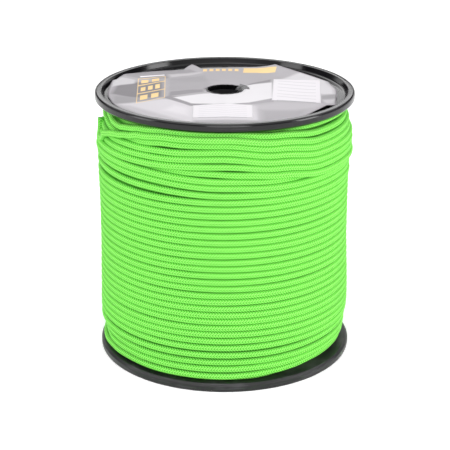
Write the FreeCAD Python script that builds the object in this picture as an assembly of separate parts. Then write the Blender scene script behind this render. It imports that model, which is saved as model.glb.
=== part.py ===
import FreeCAD, Part

import math
import os

from FreeCAD import Placement, Rotation, Vector

# A reel of braided cord: two moulded flanges on a hollow barrel, clamped by tie bolts.
# Millimetres. +Z runs up the spindle bore, and z = 0 is the face the reel stands on.

# Overall sizes
overall_height = 248.0
flange_diameter = 235.0
winding_diameter = 231.0
cord_diameter = 6.0

# Flange moulding: rim, dished web and raised hub face
rim_width = 8.0
rim_wall_height = 6.0
rim_outer_round = 2.5
rim_round_steps = 2
rim_inner_bevel = 2.0
winding_side_chamfer = 2.0
web_thickness = 2.5
hub_face_diameter = 60.0
hub_face_recess = 1.0
bore_diameter = 31.0
outer_rib_count = 6
outer_rib_width = 2.5
inner_gusset_height = 8.0
socket_ring_height = 10.0
socket_ring_wall = 2.5
hub_sleeve_wall = 3.0
hub_sleeve_height = 10.0

# Barrel and arbor tube between the flanges
barrel_diameter = 124.0
barrel_wall = 4.0
arbor_tube_wall = 3.5
socket_clearance = 0.2
arbor_clearance = 0.15

# Tie bolts, one in each pocket of the web
tie_bolt_count = 3
bolt_inset_from_barrel = 13.0
bolt_diameter = 6.0
bolt_hole_clearance = 0.3
hex_across_flats = 10.0
bolt_head_height = 4.0
nut_height = 5.0
nut_thread_clearance = 0.05
bolt_end_stand_out = 1.0
washer_diameter = 12.0
washer_thickness = 1.6
pocket_diameter = 14.0
pocket_depth = 6.5
pocket_wall = 2.5

# Cord
winding_end_clearance = 0.2
barrel_to_cord_clearance = 0.2
cord_seat_clearance = 0.3
loop_count = 16
cord_side_count = 6
loop_start_angle = 190.0
first_loop_above_flange = 9.0
tail_below_flange = 18.0
tail_bend_radius = 9.0
climb_bend_radius = 45.0
climb_arc = 40.0
knot_diameter = 13.0
knot_length = 12.0
start_hole_clearance = 0.4
start_hole_above_flange = 20.0
start_hole_angle = 210.0

# Printed film label and its two stickers
label_thickness = 0.3
label_hole_margin = 2.0
label_fold_clearance = 1.5
label_fold_count = 16
sticker_thickness = 0.2
# The label's corners: the angle of each, and how far it stands in from the rim
label_corners = [
    (-11, 5.6), (10, 4.9), (32, 3.5), (64, 2.6), (88, 6.4), (110, 2.3), (137, 3.3),
    (159, 1.6), (184, 3.2), (216, 3.5), (246, 3.0), (286, 2.2), (310, 7.3), (338, 10.0),
]
barcode_sticker_box = (44.0, 88.0, -33.0, 30.0)
info_sticker_box = (-27.0, 25.0, -79.0, -46.0)

# Sizes that follow from the ones above
flange_radius = flange_diameter / 2
flange_thickness = rim_wall_height + winding_side_chamfer
web_floor_depth = flange_thickness - web_thickness
rim_inner_radius = flange_radius - rim_width
bore_radius = bore_diameter / 2
hub_face_radius = hub_face_diameter / 2
barrel_radius = barrel_diameter / 2
barrel_inner_radius = barrel_radius - barrel_wall
arbor_tube_radius = bore_radius + arbor_tube_wall
arbor_seat_radius = arbor_tube_radius + arbor_clearance
hub_sleeve_radius = arbor_seat_radius + hub_sleeve_wall
socket_ring_radius = barrel_inner_radius - socket_clearance
bolt_circle_radius = barrel_inner_radius - bolt_inset_from_barrel
pocket_radius = pocket_diameter / 2
pocket_floor_depth = web_floor_depth + pocket_depth
bolt_radius = bolt_diameter / 2
cord_radius = cord_diameter / 2
outer_loop_radius = winding_diameter / 2 - cord_radius
inner_layers_radius = outer_loop_radius - cord_radius - cord_seat_clearance
label_reach = rim_inner_radius - label_fold_clearance
label_hole_radius = bore_radius + label_hole_margin
winding_bottom = flange_thickness + winding_end_clearance
winding_top = overall_height - flange_thickness - winding_end_clearance
overlap = 1.0


def save(name, shape):
    """Writes one sub-part's solids to its STEP file and prints its volume."""
    shape.exportStep("parts/" + name + ".step")
    print(name, "solids", len(shape.Solids), "volume", round(shape.Volume, 1), "valid", shape.isValid())


def cylinder(radius, low, high, x=0.0, y=0.0):
    """Makes an upright cylinder from one height to another."""
    return Part.makeCylinder(radius, high - low, Vector(x, y, low))


def tube(outer_radius, inner_radius, low, high):
    """Makes an upright tube from one height to another."""
    return cylinder(outer_radius, low, high).cut(cylinder(inner_radius, low - overlap, high + overlap))


def turned(points):
    """Turns a closed outline of (radius, height) points about the bore axis."""
    corners = [Vector(radius, 0, height) for radius, height in points]
    face = Part.Face(Part.makePolygon(corners + corners[:1]))
    return face.revolve(Vector(0, 0, 0), Vector(0, 0, 1), 360)


def bolt_places():
    """Gives the centre of each tie bolt."""
    turns = [2 * math.pi * index / tie_bolt_count for index in range(tie_bolt_count)]
    return [(bolt_circle_radius * math.cos(turn), bolt_circle_radius * math.sin(turn)) for turn in turns]


def hexagon(low, high, x, y):
    """Makes an upright hexagonal prism across the fastener's flats."""
    corner_radius = hex_across_flats / math.sqrt(3)
    corners = []
    for index in range(6):
        angle = math.radians(60 * index)
        corners.append(Vector(x + corner_radius * math.cos(angle), y + corner_radius * math.sin(angle), low))
    return Part.Face(Part.makePolygon(corners + corners[:1])).extrude(Vector(0, 0, high - low))


# The flange is drawn with its outer face at z = 0 and its winding side towards +Z.


def rim_corner():
    """Gives the outline's points round the rim's outer corner."""
    points = []
    for step in range(rim_round_steps + 1):
        turn = math.pi / 2 * step / rim_round_steps
        inset = rim_outer_round * (1 - math.sin(turn))
        points.append((flange_radius - inset, rim_outer_round * (1 - math.cos(turn))))
    return points


def flange_shell():
    """Turns the rim, web, hub face and sleeve, which share one moulded wall."""
    hub_underside = hub_face_recess + web_thickness
    hub_wall_radius = hub_face_radius - web_thickness
    return turned(rim_corner() + [
        (flange_radius, rim_wall_height),
        (flange_radius - winding_side_chamfer, flange_thickness),
        (hub_wall_radius, flange_thickness),
        (hub_wall_radius, hub_underside),
        (hub_sleeve_radius, hub_underside),
        (hub_sleeve_radius, flange_thickness + hub_sleeve_height),
        (arbor_seat_radius, flange_thickness + hub_sleeve_height),
        (arbor_seat_radius, web_floor_depth),
        (bore_radius, web_floor_depth),
        (bore_radius, hub_face_recess),
        (hub_face_radius, hub_face_recess),
        (hub_face_radius, web_floor_depth),
        (rim_inner_radius, web_floor_depth),
        (rim_inner_radius, rim_inner_bevel),
        (rim_inner_radius + rim_inner_bevel, 0),
    ])


def outer_ribs():
    """Makes the low ribs that fall from the hub face to the web on the outer side."""
    rib_end = rim_inner_radius - rim_width
    slope_top = hub_face_recess + label_thickness
    ribs = []
    for index in range(outer_rib_count):
        corners = [
            Vector(hub_face_radius - overlap, 0, slope_top),
            Vector(hub_face_radius, 0, slope_top),
            Vector(rib_end, 0, web_floor_depth),
            Vector(rib_end, 0, web_floor_depth + overlap),
            Vector(hub_face_radius - overlap, 0, web_floor_depth + overlap),
        ]
        face = Part.Face(Part.makePolygon(corners + corners[:1]))
        rib = face.extrude(Vector(0, outer_rib_width, 0))
        rib.translate(Vector(0, -outer_rib_width / 2, 0))
        rib.rotate(Vector(0, 0, 0), Vector(0, 0, 1), 360 * (index + 0.5) / outer_rib_count)
        ribs.append(rib)
    return ribs


def inner_gussets():
    """Makes the ribs between the hub sleeve and the barrel socket, inside the barrel."""
    gussets = []
    length = socket_ring_radius - socket_ring_wall - hub_sleeve_radius + 2 * overlap
    for index in range(outer_rib_count):
        gusset = Part.makeBox(
            length,
            outer_rib_width,
            inner_gusset_height + overlap,
            Vector(hub_sleeve_radius - overlap, -outer_rib_width / 2, flange_thickness - overlap),
        )
        gusset.rotate(Vector(0, 0, 0), Vector(0, 0, 1), 360 * (index + 0.5) / outer_rib_count)
        gussets.append(gusset)
    return gussets


def pocket_cups():
    """Makes the solid cups that stand into the barrel round each bolt pocket."""
    radius = pocket_radius + pocket_wall
    return [cylinder(radius, web_floor_depth, pocket_floor_depth + pocket_wall, x, y) for x, y in bolt_places()]


def pocket_cuts():
    """Makes the pocket and the bolt hole that are cut at each tie bolt."""
    cuts = []
    hole_radius = bolt_radius + bolt_hole_clearance
    for x, y in bolt_places():
        cuts.append(cylinder(pocket_radius, 0, pocket_floor_depth, x, y))
        cuts.append(cylinder(hole_radius, 0, pocket_floor_depth + pocket_wall + overlap, x, y))
    return cuts


def flange():
    """Joins one flange moulding, drawn with its outer face at z = 0."""
    socket_ring = tube(
        socket_ring_radius,
        socket_ring_radius - socket_ring_wall,
        flange_thickness - overlap,
        flange_thickness + socket_ring_height,
    )
    body = flange_shell().fuse([socket_ring] + outer_ribs() + inner_gussets() + pocket_cups())
    return body.cut(pocket_cuts()).removeSplitter()


def turned_over(shape):
    """Turns a shape made for the bottom end over to the top end."""
    flipped = shape.copy()
    flipped.Placement = Placement(Vector(0, 0, overall_height), Rotation(Vector(1, 0, 0), 180))
    return flipped


def start_hole_outward():
    """Gives the outward direction of the hole for the cord's inner end."""
    turn = math.radians(start_hole_angle)
    return Vector(math.cos(turn), math.sin(turn), 0)


def start_hole_point(radius):
    """Gives the point on the start hole's axis at a radius."""
    return start_hole_outward() * radius + Vector(0, 0, flange_thickness + start_hole_above_flange)


def core_tube():
    """Makes the barrel, which butts on both flanges and has the hole for the cord's inner end."""
    barrel = tube(barrel_radius, barrel_inner_radius, flange_thickness, overall_height - flange_thickness)
    hole = Part.makeCylinder(
        cord_radius + start_hole_clearance,
        barrel_wall + 3 * overlap,
        start_hole_point(barrel_radius + overlap),
        -start_hole_outward(),
    )
    return barrel.cut(hole)


def arbor_tube():
    """Makes the sleeve that carries the spindle between the two hubs."""
    return tube(arbor_tube_radius, bore_radius, web_floor_depth, overall_height - web_floor_depth)


# Fasteners


def tie_bolts():
    """Makes the long bolts, head down in the bottom flange's pockets."""
    bolts = []
    bearing_face = pocket_floor_depth - washer_thickness
    shank_top = overall_height - bearing_face + nut_height + bolt_end_stand_out
    for x, y in bolt_places():
        head = hexagon(bearing_face - bolt_head_height, bearing_face, x, y)
        shank = cylinder(bolt_radius, bearing_face - overlap, shank_top, x, y)
        bolts.append(head.fuse(shank).removeSplitter())
    return Part.makeCompound(bolts)


def tie_nuts():
    """Makes the nuts in the top flange's pockets."""
    nuts = []
    low = overall_height - pocket_floor_depth + washer_thickness
    for x, y in bolt_places():
        thread = cylinder(bolt_radius + nut_thread_clearance, low - overlap, low + nut_height + overlap, x, y)
        nuts.append(hexagon(low, low + nut_height, x, y).cut(thread))
    return Part.makeCompound(nuts)


def pocket_washers():
    """Makes a washer for the floor of every pocket, at both ends."""
    washers = []
    low = pocket_floor_depth - washer_thickness
    for x, y in bolt_places():
        disc = cylinder(washer_diameter / 2, low, pocket_floor_depth, x, y)
        hole = cylinder(bolt_radius + bolt_hole_clearance, low - overlap, pocket_floor_depth + overlap, x, y)
        washer = disc.cut(hole)
        washers.append(washer)
        washers.append(turned_over(washer))
    return Part.makeCompound(washers)


# Cord


def cord_corners(radius):
    """Gives the corners of the cord's faceted section, as pairs of distances outward and up."""
    turns = [2 * math.pi * (index + 0.5) / cord_side_count for index in range(cord_side_count)]
    return [(radius * math.cos(turn), radius * math.sin(turn)) for turn in turns]


def section(centre, outward, corners):
    """Draws an upright section through a centre from its corners."""
    points = [centre + outward * out + Vector(0, 0, up) for out, up in corners]
    return Part.makePolygon(points + points[:1])


def loop_start():
    """Gives where the last layer's straight start begins, and the outward direction there."""
    direction = loop_direction(loop_start_angle, 0)
    start = loop_point(loop_start_angle, flange_thickness + first_loop_above_flange) - direction * cord_diameter
    return start, Vector(0, 0, 1).cross(direction)


def inner_layers():
    """Makes the full inner layers as one thick ring, with the rise that starts the last layer."""
    ring = tube(inner_layers_radius, barrel_radius + barrel_to_cord_clearance, winding_bottom, winding_top)
    start, outward = loop_start()
    outer_half = [corner for corner in cord_corners(cord_radius) if corner[0] > -overlap / 2]
    root = inner_layers_radius - outer_loop_radius - overlap
    outline = outer_half + [(root, -cord_radius), (root, cord_radius)]
    outline.sort(key=lambda corner: math.atan2(corner[1], corner[0]))
    face = Part.Face(section(start, outward, outline))
    climb = face.revolve(start - outward * climb_bend_radius, Vector(0, 0, 1), climb_arc)
    return ring.fuse(climb).removeSplitter()


def loop_point(angle, height):
    """Gives the point of the last layer at an angle in degrees and a height."""
    turn = math.radians(angle)
    return Vector(outer_loop_radius * math.cos(turn), outer_loop_radius * math.sin(turn), height)


def loop_direction(angle, rise_per_turn):
    """Gives the unit direction of travel along a turn, which runs clockwise seen from above."""
    turn = math.radians(angle)
    direction = Vector(math.sin(turn), -math.cos(turn), rise_per_turn / (2 * math.pi * outer_loop_radius))
    return direction.normalize()


def tangent_arc(start, direction, end):
    """Makes the arc that leaves start along a direction and ends at a point."""
    chord = end - start
    half_turn = direction.getAngle(chord)
    half_chord = chord.Length / 2
    to_corner = start + direction * (half_chord / math.cos(half_turn)) - (start + end) * 0.5
    middle = (start + end) * 0.5 + to_corner.normalize() * (half_chord * math.tan(half_turn / 2))
    return Part.Arc(start, middle, end).toShape()


def biarc(start, start_direction, end, end_direction):
    """Joins two points by two arcs that share a tangent."""
    span = end - start
    total = start_direction + end_direction
    spread = 2 * (1 - start_direction.dot(end_direction))
    reach = (math.sqrt(span.dot(total) ** 2 + spread * span.dot(span)) - span.dot(total)) / spread
    joint = (start + start_direction * reach + end - end_direction * reach) * 0.5
    joint_direction = (end - end_direction * reach - start - start_direction * reach).normalize()
    return [tangent_arc(start, start_direction, joint), tangent_arc(joint, joint_direction, end)]


def outer_layer_path():
    """Lays the last layer: a straight start, half turns of two arcs each, and the upright tail."""
    first_height = flange_thickness + first_loop_above_flange
    last_height = overall_height - flange_thickness - tail_below_flange - tail_bend_radius - cord_diameter
    rise = (last_height - first_height) / loop_count
    point = loop_point(loop_start_angle, first_height)
    direction = loop_direction(loop_start_angle, 0)
    edges = [Part.makeLine(loop_start()[0], point)]
    for half_turn in range(1, 2 * loop_count + 1):
        angle = loop_start_angle - 180 * half_turn
        next_point = loop_point(angle, first_height + rise * half_turn / 2)
        next_direction = loop_direction(angle, rise)
        edges += biarc(point, direction, next_point, next_direction)
        point = next_point
        direction = next_direction
    up = Vector(0, 0, 1)
    sweep = direction.getAngle(up)
    normal = (up - direction * direction.dot(up)).normalize()

    def bend_point(turn):
        """Gives the point of the tail's bend after some of its turn."""
        return point + (direction * math.sin(turn) + normal * (1 - math.cos(turn))) * tail_bend_radius

    bend_end = bend_point(sweep)
    edges.append(Part.Arc(point, bend_point(sweep / 2), bend_end).toShape())
    edges.append(Part.makeLine(bend_end, bend_end + up * cord_diameter))
    return Part.Wire(edges)


def print_least_gap(path):
    """Prints the least gap between turns, measured on points along the path."""
    step = 8.0
    points = path.discretize(Number=int(path.Length / step))
    apart = int(math.pi * outer_loop_radius / step)
    least = min(
        points[first].distanceToPoint(points[second])
        for first in range(len(points))
        for second in range(first + apart, min(first + 4 * apart, len(points)))
    )
    print("least gap between turns", round(least - cord_diameter, 2), "path length", round(path.Length, 1))


def outer_layer():
    """Makes the last layer and its tail as one unbroken tube."""
    path = outer_layer_path()
    print_least_gap(path)
    start, outward = loop_start()
    return path.makePipeShell([section(start, outward, cord_corners(cord_radius))], True)


def cord_prism(radius, start, end):
    """Makes a faceted run of cord between two points at one height."""
    across = (end - start).normalize().cross(Vector(0, 0, 1))
    return Part.Face(section(start, across, cord_corners(radius))).extrude(end - start)


def start_knot():
    """Makes the cord's inner end, which passes the barrel wall and is held by its knot."""
    knot_radius = knot_diameter / 2
    seat_radius = math.sqrt(barrel_inner_radius ** 2 - knot_radius ** 2) - socket_clearance
    knot_outer = start_hole_point(seat_radius)
    knot_inner = start_hole_point(seat_radius - knot_length)
    knot = cord_prism(knot_radius, knot_outer, knot_inner)
    lead = cord_prism(cord_radius, start_hole_point(barrel_radius), knot_inner)
    return knot.fuse(lead).removeSplitter()


# Label and stickers


def fold_ring(radius, height):
    """Gives the corners of the many-sided ring whose flats lie at a radius."""
    corner_radius = radius / math.cos(math.pi / label_fold_count)
    turns = [2 * math.pi * index / label_fold_count for index in range(label_fold_count)]
    return [Vector(corner_radius * math.cos(turn), corner_radius * math.sin(turn), height) for turn in turns]


def flat_face(corners):
    """Makes the flat face inside a closed run of corners."""
    return Part.Face(Part.makePolygon(corners + corners[:1]))


def tent(lift):
    """Fills the space under a film that lies on the top hub face and falls to the edge of the web."""
    edge_height = overall_height - web_floor_depth
    rings = [
        fold_ring(label_reach, edge_height - flange_thickness),
        fold_ring(label_reach, edge_height + lift),
        fold_ring(hub_face_radius, overall_height - hub_face_recess + lift),
    ]
    faces = [flat_face(rings[0]), flat_face(rings[-1])]
    for low, high in zip(rings, rings[1:]):
        for index in range(label_fold_count):
            faces.append(flat_face([low[index - 1], low[index], high[index], high[index - 1]]))
    return Part.makeSolid(Part.makeShell(faces))


def film(low_lift, thickness):
    """Makes a thin folded film a little above the hub face and web."""
    eye = cylinder(label_hole_radius, 0, 2 * overall_height)
    return tent(low_lift + thickness).cut([tent(low_lift), eye])


def plan_prism(corners):
    """Makes an upright prism of an outline in plan, tall enough to cut the films."""
    low = overall_height - flange_thickness
    points = [Vector(x, y, low) for x, y in corners]
    return Part.Face(Part.makePolygon(points + points[:1])).extrude(Vector(0, 0, 2 * flange_thickness))


def main_label():
    """Cuts the printed label's many-sided outline from the film."""
    corners = []
    for angle, inset in label_corners:
        turn = math.radians(angle)
        corners.append(((rim_inner_radius - inset) * math.cos(turn), (rim_inner_radius - inset) * math.sin(turn)))
    return film(0, label_thickness).common(plan_prism(corners))


def sticker(box):
    """Cuts a sticker that lies on the label."""
    left, right, front, back = box
    corners = [(left, front), (right, front), (right, back), (left, back)]
    return film(label_thickness, sticker_thickness).common(plan_prism(corners))


def main():
    """Builds every sub-part and writes one file for each."""
    os.makedirs("parts", exist_ok=True)
    bottom = flange()
    save("bottom_flange", bottom)
    save("top_flange", turned_over(bottom))
    save("core_tube", core_tube())
    save("arbor_tube", arbor_tube())
    save("tie_bolts", tie_bolts())
    save("tie_nuts", tie_nuts())
    save("pocket_washers", pocket_washers())
    save("cord_inner_layers", inner_layers())
    save("cord_outer_layer", outer_layer())
    save("cord_start_knot", start_knot())
    save("main_label", main_label())
    save("barcode_sticker", sticker(barcode_sticker_box))
    save("info_sticker", sticker(info_sticker_box))


main()
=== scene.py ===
"""Looks of an upright reel wound full of braided cord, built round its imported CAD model.

The frame is the CAD model's: +Z runs up the spindle bore, and the photograph looks along +Y. Sizes
are in millimetres until a mesh is made; the studio's lamps and floor are in metres. A bearing is an
angle in degrees from the front, positive towards the viewer's right.
"""

import logging
import math
from collections.abc import Sequence
from dataclasses import dataclass
from enum import Enum

import bpy
import numpy as np
from bpy.types import Material, Node, NodeSocket, NodeTree, Object
from mathutils import Matrix, Vector


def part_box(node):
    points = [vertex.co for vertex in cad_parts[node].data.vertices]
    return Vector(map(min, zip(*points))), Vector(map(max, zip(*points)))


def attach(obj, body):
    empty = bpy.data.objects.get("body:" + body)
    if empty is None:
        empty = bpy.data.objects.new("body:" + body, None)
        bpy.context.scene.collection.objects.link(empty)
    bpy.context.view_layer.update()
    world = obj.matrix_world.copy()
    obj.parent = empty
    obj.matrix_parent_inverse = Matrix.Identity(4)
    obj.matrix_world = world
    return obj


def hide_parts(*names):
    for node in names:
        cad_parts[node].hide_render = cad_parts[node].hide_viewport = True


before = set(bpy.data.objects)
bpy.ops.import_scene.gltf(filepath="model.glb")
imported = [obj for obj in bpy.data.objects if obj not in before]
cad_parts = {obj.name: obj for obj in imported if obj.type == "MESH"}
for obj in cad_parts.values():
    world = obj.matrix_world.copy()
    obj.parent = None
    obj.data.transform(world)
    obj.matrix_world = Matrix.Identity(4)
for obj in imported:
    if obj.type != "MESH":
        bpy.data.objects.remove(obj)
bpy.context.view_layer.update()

log = logging.getLogger("cord_reel")

MM = 0.001
TINY = 1e-9
OVERALL_HEIGHT = 248.0
FLANGE_THICKNESS = 8.0
BODY = "root"

Point = tuple[float, float]
# A turn's stray: its bearing, how far the cord rises there, and how far it sinks inward.
Stray = tuple[float, float, float]
# A mesh as arrays: its points, its faces, and each face corner's place on the pattern.
Shell = tuple[np.ndarray, np.ndarray, np.ndarray]


class Slot(Enum):
    """The record's material slots, passed with each new piece but not read."""

    PLASTIC = "reel_plastic"
    CORD = "cord_braid"
    FILM = "label_film"
    PAPER = "sticker_paper"


# Shared helpers


def linear(hex_colour: str) -> tuple[float, float, float, float]:
    """Turns an sRGB hex colour into linear light.

    Args:
        hex_colour: the colour as "#RRGGBB".

    Returns:
        Red, green, blue and an alpha of 1, in linear light.
    """
    parts = [int(hex_colour[index : index + 2], 16) / 255 for index in (1, 3, 5)]
    lit = [part / 12.92 if part <= 0.04045 else ((part + 0.055) / 1.055) ** 2.4 for part in parts]
    return (lit[0], lit[1], lit[2], 1.0)


def per_metre(size: float) -> float:
    """Turns the size of a pattern's grains in millimetres into its scale in the material."""
    return 1 / (size * MM)


def add_node(
    tree: NodeTree, kind: str, inputs: dict | None = None, stops: Sequence[tuple[float, str]] = (), **settings
) -> Node:
    """Adds a node with its settings, its ramp and its links.

    Args:
        tree: the tree that the node goes into.
        kind: the node's type name, without the "ShaderNode" that they all start with.
        inputs: values by the input's name or number; a node stands for its first open output.
        stops: a colour ramp's places and hex colours.
        **settings: the node's own properties.

    Returns:
        The new node.
    """
    node = tree.nodes.new("ShaderNode" + kind)
    for name, value in settings.items():
        setattr(node, name, value)
    if stops:
        ramp = node.color_ramp.elements
        for _ in range(len(stops) - len(ramp)):
            ramp.new(0.5)
        for element, (place, colour) in zip(ramp, stops):
            element.position = place
            element.color = linear(colour)
    for name, value in (inputs or {}).items():
        if isinstance(name, int):
            socket = node.inputs[name]
        else:
            socket = next(found for found in node.inputs if found.name == name and found.enabled)
        if isinstance(value, Node):
            value = next(output for output in value.outputs if output.enabled)
        if isinstance(value, NodeSocket):
            tree.links.new(value, socket)
        else:
            socket.default_value = value
    return node


def linked(name: str, data: bpy.types.ID) -> Object:
    """Makes an object of a mesh, a lamp or a camera and links it to the scene.

    Args:
        name: the object's name.
        data: the mesh, the lamp or the camera.

    Returns:
        The object.
    """
    made = bpy.data.objects.new(name, data)
    bpy.context.scene.collection.objects.link(made)
    return made


def new_mesh(
    name: str, points: np.ndarray, faces: np.ndarray, uvs: np.ndarray | None = None, smooth: bool = True
) -> Object:
    """Makes a mesh object from arrays.

    Args:
        name: the piece's name.
        points: an (n, 3) array in millimetres.
        faces: an (m, k) array of corner numbers.
        uvs: an (m, k, 2) array of each face corner's place on the pattern.
        smooth: whether the faces are shaded smooth.

    Returns:
        The object, linked to the scene.
    """
    corners = faces.shape[1]
    mesh = bpy.data.meshes.new(name)
    mesh.vertices.add(len(points))
    mesh.vertices.foreach_set("co", (np.asarray(points, float) * MM).ravel())
    mesh.loops.add(faces.size)
    mesh.loops.foreach_set("vertex_index", faces.ravel().astype(np.int32))
    mesh.polygons.add(len(faces))
    mesh.polygons.foreach_set("loop_start", np.arange(0, faces.size, corners, dtype=np.int32))
    mesh.polygons.foreach_set("loop_total", np.full(len(faces), corners, np.int32))
    mesh.polygons.foreach_set("use_smooth", np.full(len(faces), smooth))
    if uvs is not None:
        layer = mesh.uv_layers.new(name="UVMap")
        layer.data.foreach_set("uv", uvs.reshape(-1).astype(np.float32))
    mesh.update(calc_edges=True)
    mesh.validate()
    return linked(name, mesh)


def coat(piece: Object, finish: Material) -> None:
    """Gives a piece its only material."""
    piece.data.materials.clear()
    piece.data.materials.append(finish)


def place(piece: Object, finish: Material, slot: Slot, *nodes: str) -> None:
    """Gives a piece its finish, its body and the nodes that it stands for.

    Args:
        piece: the new piece.
        finish: its material.
        slot: the record's slot for that finish; not used.
        *nodes: the CAD nodes that the piece replaces.
    """
    coat(piece, finish)
    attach(piece, BODY)
    if nodes:
        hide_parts(*nodes)
    log.info("%s: %d faces, for %s", piece.name, len(piece.data.polygons), ", ".join(nodes) or "detail")


def dress_node(name: str, finish: Material) -> None:
    """Gives a CAD node that stays in view its material."""
    coat(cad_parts[name], finish)
    log.info("%s keeps its CAD shape", name)


def settled(piece: Object) -> Object:
    """Applies a piece's modifiers to its mesh.

    Args:
        piece: a mesh with modifiers.

    Returns:
        The same piece with the result as its mesh.
    """
    shown = piece.evaluated_get(bpy.context.evaluated_depsgraph_get())
    result = bpy.data.meshes.new_from_object(shown)
    piece.modifiers.clear()
    piece.data = result
    return piece


def thickened(piece: Object, thickness: float) -> Object:
    """Gives a sheet its thickness, on its upper side.

    Args:
        piece: the sheet.
        thickness: how thick it becomes.

    Returns:
        The same piece, closed all round.
    """
    sheet = piece.modifiers.new("sheet", "SOLIDIFY")
    sheet.thickness = thickness * MM
    sheet.offset = 1.0
    return settled(piece)


def grid_faces(rows: int, columns: int, close_rows: bool = False, close_columns: bool = False) -> np.ndarray:
    """Numbers the quads of a grid of points.

    Args:
        rows: how many rows of points.
        columns: how many points in a row.
        close_rows: whether the last row joins the first.
        close_columns: whether each row closes on itself.

    Returns:
        An (m, 4) array of corner numbers.
    """
    row = np.arange(rows if close_rows else rows - 1)[:, None]
    column = np.arange(columns if close_columns else columns - 1)[None, :]
    next_row, next_column = (row + 1) % rows, (column + 1) % columns
    corners = ((row, column), (row, next_column), (next_row, next_column), (next_row, column))
    return np.stack([down * columns + across for down, across in corners], -1).reshape(-1, 4)


def grid_uvs(along: np.ndarray, around: np.ndarray) -> np.ndarray:
    """Gives the corners of a grid's quads their places on the pattern.

    Args:
        along: the place of each row of points.
        around: the place of each point in a row.

    Returns:
        An (m, 4, 2) array in the order of the grid's faces.
    """
    row = np.arange(len(along) - 1)[:, None]
    column = np.arange(len(around) - 1)[None, :]
    corners = ((row, column), (row, column + 1), (row + 1, column + 1), (row + 1, column))
    places = [np.stack(np.broadcast_arrays(along[down], around[across]), -1) for down, across in corners]
    return np.stack(places, 2).reshape(-1, 4, 2)


def spun(outline: Sequence[Point], segments: int) -> tuple[np.ndarray, np.ndarray]:
    """Spins a closed outline of (radius, height) points about the bore axis.

    Args:
        outline: the points, in order, with the solid on their left.
        segments: how many steps round.

    Returns:
        The points and the faces.
    """
    turn = np.linspace(0, 2 * np.pi, segments, endpoint=False)[:, None]
    radius, height = np.array(outline, float).T
    rows = np.broadcast_to(height, (segments, len(outline)))
    points = np.stack([np.cos(turn) * radius, np.sin(turn) * radius, rows], -1).reshape(-1, 3)
    return points, grid_faces(segments, len(outline), close_rows=True, close_columns=True)


def rounded(corner: Sequence[Point], radii: Sequence[float], steps: int = 5) -> list[Point]:
    """Rounds the corners of a closed outline.

    Args:
        corner: the outline's sharp corners.
        radii: one radius for each corner, 0 for a corner that stays sharp.
        steps: how many steps each round takes.

    Returns:
        The rounded outline.
    """
    outline = []
    for index, radius in enumerate(radii):
        here = Vector(corner[index])
        back = Vector(corner[index - 1]) - here
        ahead = Vector(corner[(index + 1) % len(corner)]) - here
        if radius <= 0:
            outline.append(tuple(here))
            continue
        half = back.angle(ahead) / 2
        # A round may take up just under half of each side, so that two rounds never meet.
        cut = min(radius / math.tan(half), 0.49 * back.length, 0.49 * ahead.length)
        start = here + back.normalized() * cut
        end = here + ahead.normalized() * cut
        for step in range(steps + 1):
            part = step / steps
            outline.append(tuple(start * (1 - part) ** 2 + here * 2 * part * (1 - part) + end * part**2))
    return outline


def smoothstep(value: np.ndarray) -> np.ndarray:
    """Eases a value from 0 to 1."""
    held = np.clip(value, 0, 1)
    return held * held * (3 - 2 * held)


def smooth_through(handles: np.ndarray, steps: int) -> np.ndarray:
    """Draws a smooth curve through handles.

    Args:
        handles: the rows to pass through.
        steps: how many steps from one handle to the next.

    Returns:
        The rows of the curve, from the first handle to the last.
    """
    padded = np.vstack([2 * handles[0] - handles[1], handles, 2 * handles[-1] - handles[-2]])
    rows = []
    for index in range(1, len(padded) - 2):
        before, start, end, after = padded[index - 1 : index + 3]
        for step in range(steps):
            part = step / steps
            bend = 2 * before - 5 * start + 4 * end - after
            twist = 3 * start - before - 3 * end + after
            rows.append(0.5 * (2 * start + (end - before) * part + bend * part**2 + twist * part**3))
    rows.append(handles[-1])
    return np.array(rows)


def capped(tube: Shell, sides: int) -> Shell:
    """Closes both ends of a swept tube, each with a fan of quads about a middle point.

    Args:
        tube: the open tube, one ring of points after another.
        sides: how many points each ring has, an even number.

    Returns:
        The closed tube.
    """
    points, faces, uvs = tube
    middles, fans = [], []
    for ring_start, flip in ((0, True), (len(points) - sides, False)):
        hub = len(points) + len(middles)
        middles.append(points[ring_start : ring_start + sides].mean(0))
        for index in range(0, sides, 2):
            quad = [hub, *(ring_start + (index + step) % sides for step in range(3))]
            fans.append(quad[::-1] if flip else quad)
    return (
        np.concatenate([points, np.array(middles)]),
        np.concatenate([faces, np.array(fans)]),
        np.concatenate([uvs, np.zeros((len(fans), 4, 2))]),
    )


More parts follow.
